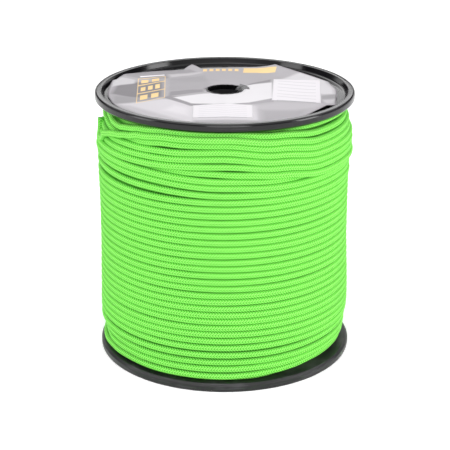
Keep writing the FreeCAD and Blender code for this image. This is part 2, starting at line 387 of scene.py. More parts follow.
def swept(
    points: np.ndarray,
    side: np.ndarray,
    sides: int,
    radius: float | np.ndarray,
    repeat: float,
    columns: int,
    squareness: float = 2.0,
) -> Shell:
    """Sweeps a section along a line of points and closes both ends.

    Args:
        points: the line.
        side: a direction for each point that the section's first corner leans to.
        sides: how many sides the section has, an even number.
        radius: the section's radius, one or one for each point.
        repeat: the plait's repeat along the cord.
        columns: how many plait columns go round the section.
        squareness: 2 for a round section, more for one that is pressed flat by its neighbours.

    Returns:
        The closed tube.
    """
    along = np.gradient(points, axis=0)
    along /= np.linalg.norm(along, axis=1, keepdims=True)
    first = side - along * (side * along).sum(1, keepdims=True)
    first /= np.linalg.norm(first, axis=1, keepdims=True)
    second = np.cross(along, first)
    turn = np.linspace(0, 2 * np.pi, sides, endpoint=False)
    wide = np.broadcast_to(np.asarray(radius, float), (len(points),))[:, None, None]
    reach = (np.abs(np.cos(turn)) ** squareness + np.abs(np.sin(turn)) ** squareness) ** (-1 / squareness)
    over_first, over_second = ((reach * part)[None, :, None] for part in (np.cos(turn), np.sin(turn)))
    ring = over_first * first[:, None] + over_second * second[:, None]
    made = (points[:, None] + wide * ring).reshape(-1, 3)
    length = np.concatenate([[0], np.cumsum(np.linalg.norm(np.diff(points, axis=0), axis=1))]) / repeat
    uvs = grid_uvs(length, np.arange(sides + 1) * columns / sides)
    return capped((made, grid_faces(len(points), sides, close_columns=True), uvs), sides)


def joined(shells: Sequence[Shell]) -> Shell:
    """Joins shells into one mesh.

    Args:
        shells: the shells, which keep apart.

    Returns:
        All their points, faces and pattern places.
    """
    points, faces, uvs = zip(*shells)
    firsts = np.cumsum([0, *(len(part) for part in points[:-1])])
    moved = [part + first for part, first in zip(faces, firsts)]
    return np.concatenate(points), np.concatenate(moved), np.concatenate(uvs)


# Finishes


@dataclass(frozen=True)
class Finish:
    """A finish of one real material."""

    name: str

    def surface(self, tree: NodeTree) -> Node:
        """Builds the shader; each finish has its own."""
        raise NotImplementedError

    def material(self) -> Material:
        """Makes the material.

        Returns:
            A node material with this finish's surface.
        """
        made = bpy.data.materials.new(self.name)
        made.use_nodes = True
        made.node_tree.nodes.clear()
        add_node(made.node_tree, "OutputMaterial", {"Surface": self.surface(made.node_tree)})
        return made


@dataclass(frozen=True)
class BraidedPolypropylene(Finish):
    """Melt-dyed polypropylene multifilament, braided from sixteen strands over a core.

    The eye gets columns of slanting strands that meet in a V, with dark green between them that is painted shade.
    """

    strand: str = "#9FFB74"
    # The plait's lower tones are painted shade, darkest in the seams between strands.
    strand_shade: str = "#62D63A"
    seam_shade: str = "#1E9A0A"
    # Painted shade for where two turns press together.
    shadow: str = "#077C00"
    columns: int = 8
    streaks_per_strand: float = 9.0
    streak_relief: float = 0.25
    plait_relief_mm: float = 0.25
    roughness: float = 0.62
    refraction: float = 1.3
    specular: float = 0.2

    def surface(self, tree: NodeTree) -> Node:
        """Builds the plait from the pattern coordinates.

        U counts plait repeats along the cord, 2.48 mm each, and V counts the eight columns round it.

        Args:
            tree: the material's tree.

        Returns:
            The shader node.
        """
        along, around = add_node(tree, "SeparateXYZ", {0: add_node(tree, "UVMap", uv_map="UVMap")}).outputs[:2]
        column = add_node(tree, "Math", {0: around}, operation="FLOOR")
        across = add_node(tree, "Math", {0: around}, operation="FRACT")
        side = add_node(tree, "Math", {0: column, 1: 2.0}, operation="MODULO")
        slope = add_node(tree, "Math", {0: side, 1: -2.0, 2: 1.0}, operation="MULTIPLY_ADD")
        slanted = add_node(tree, "Math", {0: across, 1: slope, 2: along}, operation="MULTIPLY_ADD")
        ridge = self.hump(tree, add_node(tree, "Math", {0: slanted}, operation="FRACT"), power=2.4, depth=1.0)
        crown = self.hump(tree, across, power=3.0, depth=0.6)
        relief = add_node(tree, "Math", {0: ridge, 1: crown}, operation="MULTIPLY")
        # Single filaments are 0.03 mm thick; the streaks are 0.2 mm wide, so that they show.
        streaks = add_node(tree, "Math", {0: slanted, 1: self.streaks_per_strand}, operation="MULTIPLY")
        streak_place = add_node(tree, "CombineXYZ", {0: streaks, 1: around})
        filaments = add_node(tree, "TexNoise", {"Vector": streak_place, "Scale": 1.0, "Detail": 1.0}).outputs[0]
        height = add_node(tree, "Math", {0: filaments, 1: self.streak_relief, 2: relief}, operation="MULTIPLY_ADD")
        # The ramp paints shade by the relief: the low places, the seams between strands and the dips between streaks,
        # are darker.
        tones = [(0.15, self.seam_shade), (0.5, self.strand_shade), (0.85, self.strand)]
        plait_tone_and_shade = add_node(tree, "ValToRGB", {0: height}, stops=tones)
        # Where two turns press together, the dips between strands fill with painted shade, one every repeat.
        turn = add_node(tree, "Math", {0: around, 1: 2 * math.pi / self.columns}, operation="MULTIPLY")
        towards_neighbour = add_node(tree, "Math", {0: turn}, operation="SINE")
        sideways = add_node(tree, "Math", {0: towards_neighbour}, operation="ABSOLUTE")
        pressed = add_node(tree, "MapRange", {"Value": sideways, "From Min": 0.72, "From Max": 0.93})
        between_strands = {"From Min": 0.15, "From Max": 0.85, "To Min": 1.0, "To Max": 0.15}
        dip = add_node(tree, "MapRange", {"Value": ridge, **between_strands})
        shaded = add_node(tree, "Math", {0: pressed, 1: dip}, operation="MULTIPLY")
        colour = add_node(tree, "Mix", {"Factor": shaded, "A": plait_tone_and_shade, "B": linear(self.shadow)}, data_type="RGBA")
        bump = add_node(tree, "Bump", {"Height": height, "Distance": self.plait_relief_mm * MM})
        looks = {"Roughness": self.roughness, "IOR": self.refraction, "Specular IOR Level": self.specular}
        return add_node(tree, "BsdfPrincipled", {"Base Color": colour, "Normal": bump, **looks})

    @staticmethod
    def hump(tree: NodeTree, value: Node, power: float, depth: float) -> Node:
        """Turns 0 to 1 into a rounded hump that is 1 in the middle.

        Args:
            tree: the material's tree.
            value: the node that runs from 0 to 1.
            power: how flat the top is.
            depth: how far the hump falls at its edges.

        Returns:
            The node that gives the hump.
        """
        offset = add_node(tree, "Math", {0: value, 1: 2.0, 2: -1.0}, operation="MULTIPLY_ADD")
        away = add_node(tree, "Math", {0: offset}, operation="ABSOLUTE")
        fall = add_node(tree, "Math", {0: away, 1: power}, operation="POWER")
        return add_node(tree, "Math", {0: fall, 1: -depth, 2: 1.0}, operation="MULTIPLY_ADD")


@dataclass(frozen=True)
class MouldedPolypropylene(Finish):
    """Carbon-black polypropylene, injection moulded in a lightly grained mould.

    It looks almost black face on and pale where it is seen edge on, with faint rubbed streaks.
    """

    base: str = "#0B0A0D"
    rubbed: str = "#242226"
    roughness_low: float = 0.1
    roughness_high: float = 0.2
    refraction: float = 1.48
    grain_mm: float = 0.6
    grain_relief_mm: float = 0.006
    streak_long_mm: float = 22.22
    streak_high_mm: float = 1.111
    patch_mm: float = 33.33

    def surface(self, tree: NodeTree) -> Node:
        """Builds the grain and the rubbed streaks.

        Args:
            tree: the material's tree.

        Returns:
            The shader node.
        """
        spot = add_node(tree, "TexCoord").outputs["Object"]
        # The mould's real grain is finer; it is drawn 0.6 mm wide, so that it shows.
        grain = add_node(tree, "TexNoise", {"Vector": spot, "Scale": per_metre(self.grain_mm), "Detail": 2.0})
        # Handling marks run round the rim, 20 mm long and about a millimetre high.
        long, high = per_metre(self.streak_long_mm), per_metre(self.streak_high_mm)
        streak_place = add_node(tree, "Mapping", {"Vector": spot, "Scale": (long, long, high)})
        streaks = add_node(tree, "TexNoise", {"Vector": streak_place, "Scale": 1.0, "Detail": 4.0, "Roughness": 0.6})
        patches = add_node(tree, "TexNoise", {"Vector": spot, "Scale": per_metre(self.patch_mm), "Detail": 3.0})
        marks = add_node(tree, "Math", {0: streaks.outputs[0], 1: patches.outputs[0]}, operation="MULTIPLY")
        rub = add_node(tree, "MapRange", {"Value": marks, "From Min": 0.26, "From Max": 0.42})
        tones = {"A": linear(self.base), "B": linear(self.rubbed)}
        colour = add_node(tree, "Mix", {"Factor": rub, **tones}, data_type="RGBA")
        spread = {"From Min": 0.3, "From Max": 0.7, "To Min": self.roughness_low, "To Max": self.roughness_high}
        roughness = add_node(tree, "MapRange", {"Value": patches.outputs[0], **spread})
        bump = add_node(tree, "Bump", {"Height": grain.outputs[0], "Distance": self.grain_relief_mm * MM})
        looks = {"Roughness": roughness, "IOR": self.refraction, "Normal": bump}
        return add_node(tree, "BsdfPrincipled", {"Base Color": colour, **looks})


@dataclass(frozen=True)
class ZincPlatedSteel(Finish):
    """Cold-headed steel with bright zinc plating: a pale, faintly blue metal with dull clouds."""

    base: str = "#B9BBBD"
    tarnish: str = "#8C8A84"
    cloud_mm: float = 2.857
    cloud_relief_mm: float = 0.02
    roughness: float = 0.34

    def surface(self, tree: NodeTree) -> Node:
        """Builds the plating.

        Args:
            tree: the material's tree.

        Returns:
            The shader node.
        """
        spot = add_node(tree, "TexCoord").outputs["Object"]
        clouds = add_node(tree, "TexNoise", {"Vector": spot, "Scale": per_metre(self.cloud_mm), "Detail": 3.0})
        colour = add_node(tree, "ValToRGB", {0: clouds.outputs[0]}, stops=[(0.35, self.tarnish), (0.65, self.base)])
        bump = add_node(tree, "Bump", {"Height": clouds.outputs[0], "Distance": self.cloud_relief_mm * MM})
        looks = {"Metallic": 1.0, "Roughness": self.roughness, "Normal": bump}
        return add_node(tree, "BsdfPrincipled", {"Base Color": colour, **looks})


def polygon_mask(tree: NodeTree, spot: Node, corners: Sequence[Point], softness: float) -> Node:
    """Marks a convex polygon on a flat piece.

    Args:
        tree: the material's tree.
        spot: the node that gives the place on the piece as x and y in metres and 1.
        corners: the polygon's corners, counter-clockwise.
        softness: how wide its blurred edge is.

    Returns:
        A node that is 1 inside and 0 outside.
    """
    mask = None
    for index, (x, y) in enumerate(corners):
        to_x, to_y = corners[(index + 1) % len(corners)]
        length = math.hypot(to_x - x, to_y - y)
        inward = ((y - to_y) / length, (to_x - x) / length)
        side = (inward[0] / softness / MM, inward[1] / softness / MM, -(inward[0] * x + inward[1] * y) / softness)
        edge = add_node(tree, "VectorMath", {0: spot, 1: side}, operation="DOT_PRODUCT").outputs["Value"]
        mask = add_node(tree, "Math", {0: edge, 1: mask or 1.0}, operation="MINIMUM", use_clamp=True)
    return mask


@dataclass(frozen=True)
class Facet:
    """One flat wedge of the tented film: its corners, counter-clockwise, its tone of painted light and shade, and its
    blur.
    """

    corners: tuple[Point, ...]
    tone: str
    softness: float


@dataclass(frozen=True)
class MetallisedFilm(Finish):
    """Polyester film, silver grey with a white print, die cut and tented over the flange.

    The broad grey and white wedges on its facets are painted light and shade, for the light that the facets catch. The
    print is plain gold frames and bars.
    """

    base: str = "#A6A2A7"
    gold: str = "#F4CF8C"
    white: str = "#F2EEF2"
    # The facets' tones are painted light and shade: the reflections and shade that the tilted wedges of film catch.
    facets: tuple[Facet, ...] = (
        Facet(((-100, 46), (-82, 42), (-53, 42), (-18, 64), (-33, 85), (-96, 68)), "#918D92", 4),
        Facet(((-53, 44), (-18, 64), (-20, 76), (-56, 64)), "#BDB9BD", 5),
        Facet(((-53, -4), (-17, -6), (-11, 12), (-18, 59), (-54, 42)), "#9C989D", 4),
        Facet(((-18, -14), (-17, -2), (-51, -3), (-52, -24)), "#878388", 3),
        Facet(((-78, -24), (-53, -24), (-55, 38), (-81, 34), (-102, 18), (-105, -6)), "#736F74", 5),
        Facet(((-82, 27), (-82, 38), (-101, 44), (-105, 32), (-104, 12)), "#C0BDC1", 2.5),
        Facet(((-100, -35), (-77, -40), (-58, -27), (-62, -21), (-102, -8)), "#928F93", 4),
        Facet(((-100, -36), (-64, -80), (-29, -101), (33, -101), (34, -47), (-55, -26)), "#CCC8CD", 6),
        Facet(((-64, -80), (-29, -98), (-30, -90), (-56, -65), (-83, -40), (-100, -36)), "#B7B3B8", 6),
        Facet(((-58, -60), (-28, -82), (-28, -52), (-45, -42)), "#D8D4D9", 7),
        Facet(((-29, -101), (33, -101), (33, -86), (-29, -86)), "#A29EA3", 5),
        Facet(((73, -74), (98, -42), (98, -32), (67, -32), (44, -35), (22, -46), (28, -101)), "#B3AFB4", 8),
        Facet(((28, -101), (69, -77), (81, -55), (27, -56)), "#A19DA2", 8),
        Facet(((-58, -24), (-31, -49), (-10, -52), (8, -51), (-10, -40), (-50, -20)), "#89858A", 1.5),
        Facet(((1, -50.5), (22, -47), (44, -38), (44, -24), (22, -37.5)), "#9A969B", 1.5),
        Facet(((-47, -26), (-30, -43), (-10, -48), (5, -48), (22, -42), (25, -10), (-18, -17)), "#DDDADE", 1.6),
        Facet(((0, -48), (22, -42), (43, -29), (44, 27), (22, 12), (0, -10)), "#DEDBDF", 1.6),
        Facet(((23, 11), (43, 28), (44, 44), (34, 32), (19, 12)), "#837F84", 2),
        Facet(((69, 13), (87, -10), (101, -8), (102, 11), (96, 41), (72, 70), (50, 45)), "#CECBCF", 5),
        Facet(((86, -24), (100, -20), (101, -6), (86, -12)), "#928F93", 1.5),
        Facet(((88, -37), (97, -36), (100, -21), (86, -25)), "#BEBBBF", 3),
    )
    # The frames stand in one leaning block, and their sizes are shares of its width and height.
    frame_corner: Point = (-81.0, 42.0)
    frame_across: Point = (25.5, 13.0)
    frame_down: Point = (2.5, -80.0)
    frame_rows: tuple[tuple[float, float, int], ...] = ((0.0, 0.26, 2), (0.26, 0.6, 3), (0.6, 1.0, 2))
    frame_line: Point = (1.2 / 29.0, 2.04 / 88.0)
    frame_margin: float = 0.12
    block_share: float = 0.72
    block_inset: float = 0.25
    # The bars, the block beside them and the white block are in millimetres.
    bar_count: int = 6
    bar_start: float = -21.0
    bar_step: float = 6.0
    bar: tuple[Point, ...] = ((0.0, 72.5), (4.2, 72.5), (4.4, 83.0), (0.2, 83.0))
    back_block: tuple[Point, ...] = ((17.0, 67.0), (48.0, 69.0), (50.0, 86.0), (18.0, 86.0))
    white_block: tuple[Point, ...] = ((-80, 50), (-79, 46.5), (-56, 58), (-57, 62))
    print_blur: float = 0.5
    white_blur: float = 0.8
    wrinkle_mm: float = 35.71
    wrinkle_relief_mm: float = 1.0
    roughness: float = 0.45
    refraction: float = 1.33

    def surface(self, tree: NodeTree) -> Node:
        """Builds the facets' painted light and shade, the gold print and the fine wrinkles.

        Args:
            tree: the material's tree.

        Returns:
            The shader node.
        """
        spot = add_node(tree, "TexCoord").outputs["Object"]
        parts = add_node(tree, "SeparateXYZ", {0: spot}).outputs
        flat = add_node(tree, "CombineXYZ", {0: parts[0], 1: parts[1], 2: 1.0})
        layers = [(facet.corners, facet.softness, facet.tone) for facet in self.facets]
        layers += [(corners, self.print_blur, self.gold) for corners in self.print_shapes()]
        layers.append((self.white_block, self.white_blur, self.white))
        # The colour starts from the silver base, takes the facets' painted light and shade, then the gold and white
        # print.
        printed = linear(self.base)
        for corners, softness, tone in layers:
            mask = polygon_mask(tree, flat, corners, softness)
            printed = add_node(tree, "Mix", {"Factor": mask, "A": printed, "B": linear(tone)}, data_type="RGBA")
        grains = {"Scale": per_metre(self.wrinkle_mm), "Detail": 3.0, "Roughness": 0.45, "Distortion": 0.6}
        wrinkles = add_node(tree, "TexNoise", {"Vector": spot, **grains}).outputs[0]
        bump = add_node(tree, "Bump", {"Height": wrinkles, "Distance": self.wrinkle_relief_mm * MM, "Strength": 0.4})
        looks = {"Roughness": self.roughness, "IOR": self.refraction, "Normal": bump}
        return add_node(tree, "BsdfPrincipled", {"Base Color": printed, **looks})

    def print_shapes(self) -> list[list[Point]]:
        """Lists the corners of the gold frames with their blocks, and of the bars at the back.

        Returns:
            One polygon for each printed shape.
        """
        corner, across, down = (np.array(part) for part in (self.frame_corner, self.frame_across, self.frame_down))

        def patch(left: float, right: float, top: float, low: float) -> list[Point]:
            """Gives a patch of the leaning block by its shares of the block's width and height."""
            places = ((left, top), (left, low), (right, low), (right, top))
            return [tuple(float(part) for part in corner + across * u + down * v) for u, v in places]

        wide, high = self.frame_line
        shapes = []
        for top, low, blocks in self.frame_rows:
            shapes += [patch(0, 1, top, top + high), patch(0, 1, low - high, low)]
            shapes += [patch(0, wide, top, low), patch(1 - wide, 1, top, low)]
            inset = self.block_inset * (low - top)
            step = (1 - 2 * self.frame_margin) / blocks
            for index in range(blocks):
                left = self.frame_margin + step * index
                shapes.append(patch(left, left + step * self.block_share, top + inset, low - inset))
        for index in range(self.bar_count):
            shapes.append([(self.bar_start + self.bar_step * index + x, y) for x, y in self.bar])
        return [*shapes, self.back_block]


@dataclass(frozen=True)
class FilmScrap(Finish):
    """The torn and turned-up scrap of the polyester film: its dark grey is painted shade, the dark bore seen through
    the thin film, with pale stress marks.
    """

    # Painted shade: the dark bore seen through the thin film.
    back: str = "#1C1B1E"
    stress: str = "#4E4D51"
    mark_mm: float = 3.846
    mark_relief_mm: float = 0.4
    roughness: float = 0.45
    refraction: float = 1.57

    def surface(self, tree: NodeTree) -> Node:
        """Builds the scrap's painted dark shade and its stress marks.

        Args:
            tree: the material's tree.

        Returns:
            The shader node.
        """
        spot = add_node(tree, "TexCoord").outputs["Object"]
        marks = add_node(tree, "TexNoise", {"Vector": spot, "Scale": per_metre(self.mark_mm), "Detail": 3.0})
        colour = add_node(tree, "ValToRGB", {0: marks.outputs[0]}, stops=[(0.4, self.back), (0.7, self.stress)])
        bump = add_node(tree, "Bump", {"Height": marks.outputs[0], "Distance": self.mark_relief_mm * MM})
        looks = {"Roughness": self.roughness, "IOR": self.refraction, "Normal": bump}
        return add_node(tree, "BsdfPrincipled", {"Base Color": colour, **looks})


@dataclass(frozen=True)
class CoatedPaper(Finish):
    """Clay-coated label paper, die cut: a plain bright white with a few faint ruled lines."""

    paper: str = "#E4E0E5"
    rule: str = "#CFCCD1"
    rule_count: float = 7.0
    rule_share: float = 0.16
    rule_half_length: float = 0.4
    fibre_mm: float = 1.111
    fibre_relief_mm: float = 0.02
    roughness: float = 0.55
    refraction: float = 1.5

    def surface(self, tree: NodeTree) -> Node:
        """Builds the paper and its ruled lines from the sticker's own coordinates.

        Args:
            tree: the material's tree.

        Returns:
            The shader node.
        """
        across, up = add_node(tree, "SeparateXYZ", {0: add_node(tree, "UVMap", uv_map="UVMap")}).outputs[:2]
        rows = add_node(tree, "Math", {0: up, 1: self.rule_count}, operation="MULTIPLY")
        within = add_node(tree, "Math", {0: rows}, operation="FRACT")
        lines = add_node(tree, "Math", {0: within, 1: self.rule_share}, operation="LESS_THAN")
        margin = add_node(tree, "Math", {0: across, 1: 0.5, 2: self.rule_half_length}, operation="COMPARE")
        inked = add_node(tree, "Math", {0: lines, 1: margin}, operation="MULTIPLY")
        tones = {"A": linear(self.paper), "B": linear(self.rule)}
        colour = add_node(tree, "Mix", {"Factor": inked, **tones}, data_type="RGBA")
        # Real fibres are under 0.05 mm wide; these are drawn 1 mm wide, so that they show.
        spot = add_node(tree, "TexCoord").outputs["Object"]
        fibre = add_node(tree, "TexNoise", {"Vector": spot, "Scale": per_metre(self.fibre_mm), "Detail": 2.0})
        bump = add_node(tree, "Bump", {"Height": fibre.outputs[0], "Distance": self.fibre_relief_mm * MM})
        looks = {"Roughness": self.roughness, "IOR": self.refraction, "Normal": bump}
        return add_node(tree, "BsdfPrincipled", {"Base Color": colour, **looks})


def seen_white(tree: NodeTree) -> Node:
    """Marks the rays that look at the studio: straight from the camera, off a gloss or through glass.

    Args:
        tree: the material's or the world's tree.

    Returns:
        A node that is 1 for such a ray and 0 for one that only lights.
    """
    rays = add_node(tree, "LightPath").outputs
    seen = add_node(tree, "Math", {0: rays["Is Camera Ray"], 1: rays["Is Glossy Ray"]}, operation="MAXIMUM")
    return add_node(tree, "Math", {0: seen, 1: rays["Is Transmission Ray"]}, operation="MAXIMUM")


@dataclass(frozen=True)
class StudioWhite(Finish):
    """Seamless background paper, matt white, which keeps only the reel's soft shadow."""

    paper: str = "#F7F7F7"
    glow: str = "#FFFFFF"
    lift: float = 0.3

    def surface(self, tree: NodeTree) -> Node:
        """Builds the paper, lifted to white where it is looked at.

        Args:
            tree: the material's tree.

        Returns:
            The shader node.
        """
        strength = add_node(tree, "Math", {0: seen_white(tree), 1: self.lift}, operation="MULTIPLY")
        glow = add_node(tree, "Emission", {"Color": linear(self.glow), "Strength": strength})
        matt = add_node(tree, "BsdfDiffuse", {"Color": linear(self.paper), "Roughness": 1.0})
        return add_node(tree, "AddShader", {0: matt, 1: glow})


# Sub-assemblies


@dataclass
class Flange:
    """One moulded flange, drawn with its outer face at height 0 and its winding side up."""

    radius: float = 117.5
    rim_width: float = 8.0
    rim_wall_height: float = 6.0
    outer_round: float = 2.5
    inner_bevel: float = 2.0
    winding_chamfer: float = 2.0
    web_thickness: float = 2.5
    web_floor_depth: float = 5.5
    hub_face_radius: float = 30.0
    hub_face_recess: float = 1.0
    bore_radius: float = 15.5
    arbor_seat_radius: float = 19.15
    hub_sleeve_radius: float = 22.15
    sleeve_top: float = 18.0
    socket_radius: float = 57.8
    socket_wall: float = 2.5
    rib_count: int = 6
    rib_width: float = 2.5
    rib_drop: float = 0.3
    pocket_count: int = 3
    pocket_circle_radius: float = 45.0
    pocket_radius: float = 7.0
    pocket_wall: float = 2.5
    pocket_floor_depth: float = 12.0
    bolt_hole_radius: float = 3.3
    overlap: float = 1.0
    wall_overlap: float = 0.4
    overcut: float = 5.0
    segments: int = 192
    rod_steps: int = 40
    sharp_from_degrees: float = 35.0

    def outline(self) -> list[Point]:
        """Draws the moulded wall in section.

        Returns:
            The outline's (radius, height) points with their rounds.
        """
        thickness = self.rim_wall_height + self.winding_chamfer
        rim_inner = self.radius - self.rim_width
        underside = self.hub_face_recess + self.web_thickness
        # The third number is the corner's round.
        corners = [
            (rim_inner + self.inner_bevel, 0.0, 0.9),
            (self.radius, 0.0, self.outer_round),
            (self.radius, self.rim_wall_height, 0.5),
            (self.radius - self.winding_chamfer, thickness, 0.5),
            (self.socket_radius, thickness, 0.0),
            (self.socket_radius, self.sleeve_top, 0.4),
            (self.socket_radius - self.socket_wall, self.sleeve_top, 0.4),
            (self.socket_radius - self.socket_wall, thickness, 0.4),
            (self.hub_face_radius - self.web_thickness, thickness, 0.4),
            (self.hub_face_radius - self.web_thickness, underside, 0.4),
            (self.hub_sleeve_radius, underside, 0.4),
            (self.hub_sleeve_radius, self.sleeve_top, 0.4),
            (self.arbor_seat_radius, self.sleeve_top, 0.4),
            (self.arbor_seat_radius, self.web_floor_depth, 0.0),
            (self.bore_radius, self.web_floor_depth, 0.0),
            (self.bore_radius, self.hub_face_recess, 0.6),
            (self.hub_face_radius, self.hub_face_recess, 0.8),
            (self.hub_face_radius, self.web_floor_depth, 0.8),
            (rim_inner, self.web_floor_depth, 2.2),
        ]
        return rounded([corner[:2] for corner in corners], [corner[2] for corner in corners])

    def rib(self, index: int) -> Object:
        """Makes one low rib that falls from the hub face to the web.

        Args:
            index: which rib it is, counted round the hub.

        Returns:
            The rib, to join to the flange.
        """
        start, end = self.hub_face_radius - self.overlap, self.radius - 2 * self.rim_width
        low, top = self.web_floor_depth + self.overlap, self.hub_face_recess + self.rib_drop
        side = [(start, top), (end, self.web_floor_depth), (end, low), (start, low)]
        half = self.rib_width / 2
        points = np.array([(x, y, z) for y in (-half, half) for x, z in side])
        faces = np.array([[0, 1, 2, 3], [7, 6, 5, 4], [0, 4, 5, 1], [1, 5, 6, 2], [2, 6, 7, 3], [3, 7, 4, 0]])
        rib = new_mesh("rib", points, faces, smooth=False)
        rib.data.transform(Matrix.Rotation(2 * math.pi * (index + 0.5) / self.rib_count, 4, "Z"))
        return rib

    def rod(self, radius: float, low: float, high: float, index: int) -> Object:
        """Makes an upright rod at a bolt pocket, to join or to cut.

        Args:
            radius: the rod's radius.
            low: its lower end.
            high: its upper end.
            index: which pocket it is at.

        Returns:
            The rod.
        """
        steps = self.rod_steps
        # Half a step of turn keeps the rod's corners off the flange's own points.
        turn = (np.arange(steps) + 0.5) * 2 * np.pi / steps
        centre = 2 * math.pi * index / self.pocket_count
        x = self.pocket_circle_radius * math.cos(centre) + radius * np.cos(turn)
        y = self.pocket_circle_radius * math.sin(centre) + radius * np.sin(turn)
        points = np.concatenate([np.stack([x, y, np.full(steps, height)], -1) for height in (low, high)])
        sides = [(i, (i + 1) % steps, steps + (i + 1) % steps, steps + i) for i in range(steps)]
        caps = [tuple(range(steps))[::-1], tuple(range(steps, 2 * steps))]
        rod = bpy.data.meshes.new("rod")
        rod.from_pydata([tuple(point * MM) for point in points], [], sides + caps)
        return linked("rod", rod)

    def build(self, name: str, turned_over: bool) -> Object:
        """Builds the flange, with its ribs, pockets and bolt holes.

        Args:
            name: the piece's name.
            turned_over: True for the top flange.

        Returns:
            The finished mesh.
        """
        body = new_mesh(name, *spun(self.outline(), self.segments))
        joins = [self.rib(index) for index in range(self.rib_count)]
        cuts = []
        wall_low, wall_high = self.web_floor_depth + self.wall_overlap, self.pocket_floor_depth + self.pocket_wall
        hole_high = self.pocket_floor_depth + 2 * self.overcut
        for index in range(self.pocket_count):
            joins.append(self.rod(self.pocket_radius + self.pocket_wall, wall_low, wall_high, index))
            cuts.append(self.rod(self.pocket_radius, -self.overcut, self.pocket_floor_depth, index))
            cuts.append(self.rod(self.bolt_hole_radius, -self.overcut, hole_high, index))
        for operation, tools in (("UNION", joins), ("DIFFERENCE", cuts)):
            for tool in tools:
                step = body.modifiers.new(operation.lower(), "BOOLEAN")
                step.operation = operation
                step.solver = "EXACT"
                step.object = tool
        settled(body)
        for tool in joins + cuts:
            bpy.data.objects.remove(tool)
        if turned_over:
            body.data.transform(Matrix.Translation((0, 0, OVERALL_HEIGHT * MM)) @ Matrix.Rotation(math.pi, 4, "X"))
        body.data.polygons.foreach_set("use_smooth", np.ones(len(body.data.polygons), bool))
        body.data.set_sharp_from_angle(angle=math.radians(self.sharp_from_degrees))
        return body

    def dress(self, glossy: Material, paler_rougher: Material) -> None:
        """Builds both flanges and gives them their plastic, with a paler and rougher copy of it on the bottom flange.
        """
        place(self.build("moulded_bottom_flange", False), paler_rougher, Slot.PLASTIC, "bottom_flange")
        place(self.build("moulded_top_flange", True), glossy, Slot.PLASTIC, "top_flange")


@dataclass(frozen=True)
class Turn:
    """One turn of cord: its regular height and how it strays."""

    height: float
    strays: tuple[Stray, ...] = ()

    def strayed(self, bearing: np.ndarray) -> tuple[np.ndarray, np.ndarray]:
        """Follows the strays smoothly from one to the next.

        Args:
            bearing: the bearings to give places for.

        Returns:
            The rise and the sink at each bearing.
        """
        keys = self.strays
        # Strays that don't reach round the back die out there.
        if not keys or keys[0][0] > -180:
            keys = ((-180.0, 0.0, 0.0), (-135.0, 0.0, 0.0), *keys, (135.0, 0.0, 0.0), (180.0, 0.0, 0.0))
        at = np.array(keys)
        place_in = np.clip(np.searchsorted(at[:, 0], bearing, side="right") - 1, 0, len(at) - 2)
        span = at[place_in + 1, 0] - at[place_in, 0]
        part = smoothstep((bearing - at[place_in, 0]) / span)[:, None]
        rise, sink = (at[place_in, 1:] * (1 - part) + at[place_in + 1, 1:] * part).T
        return rise, sink


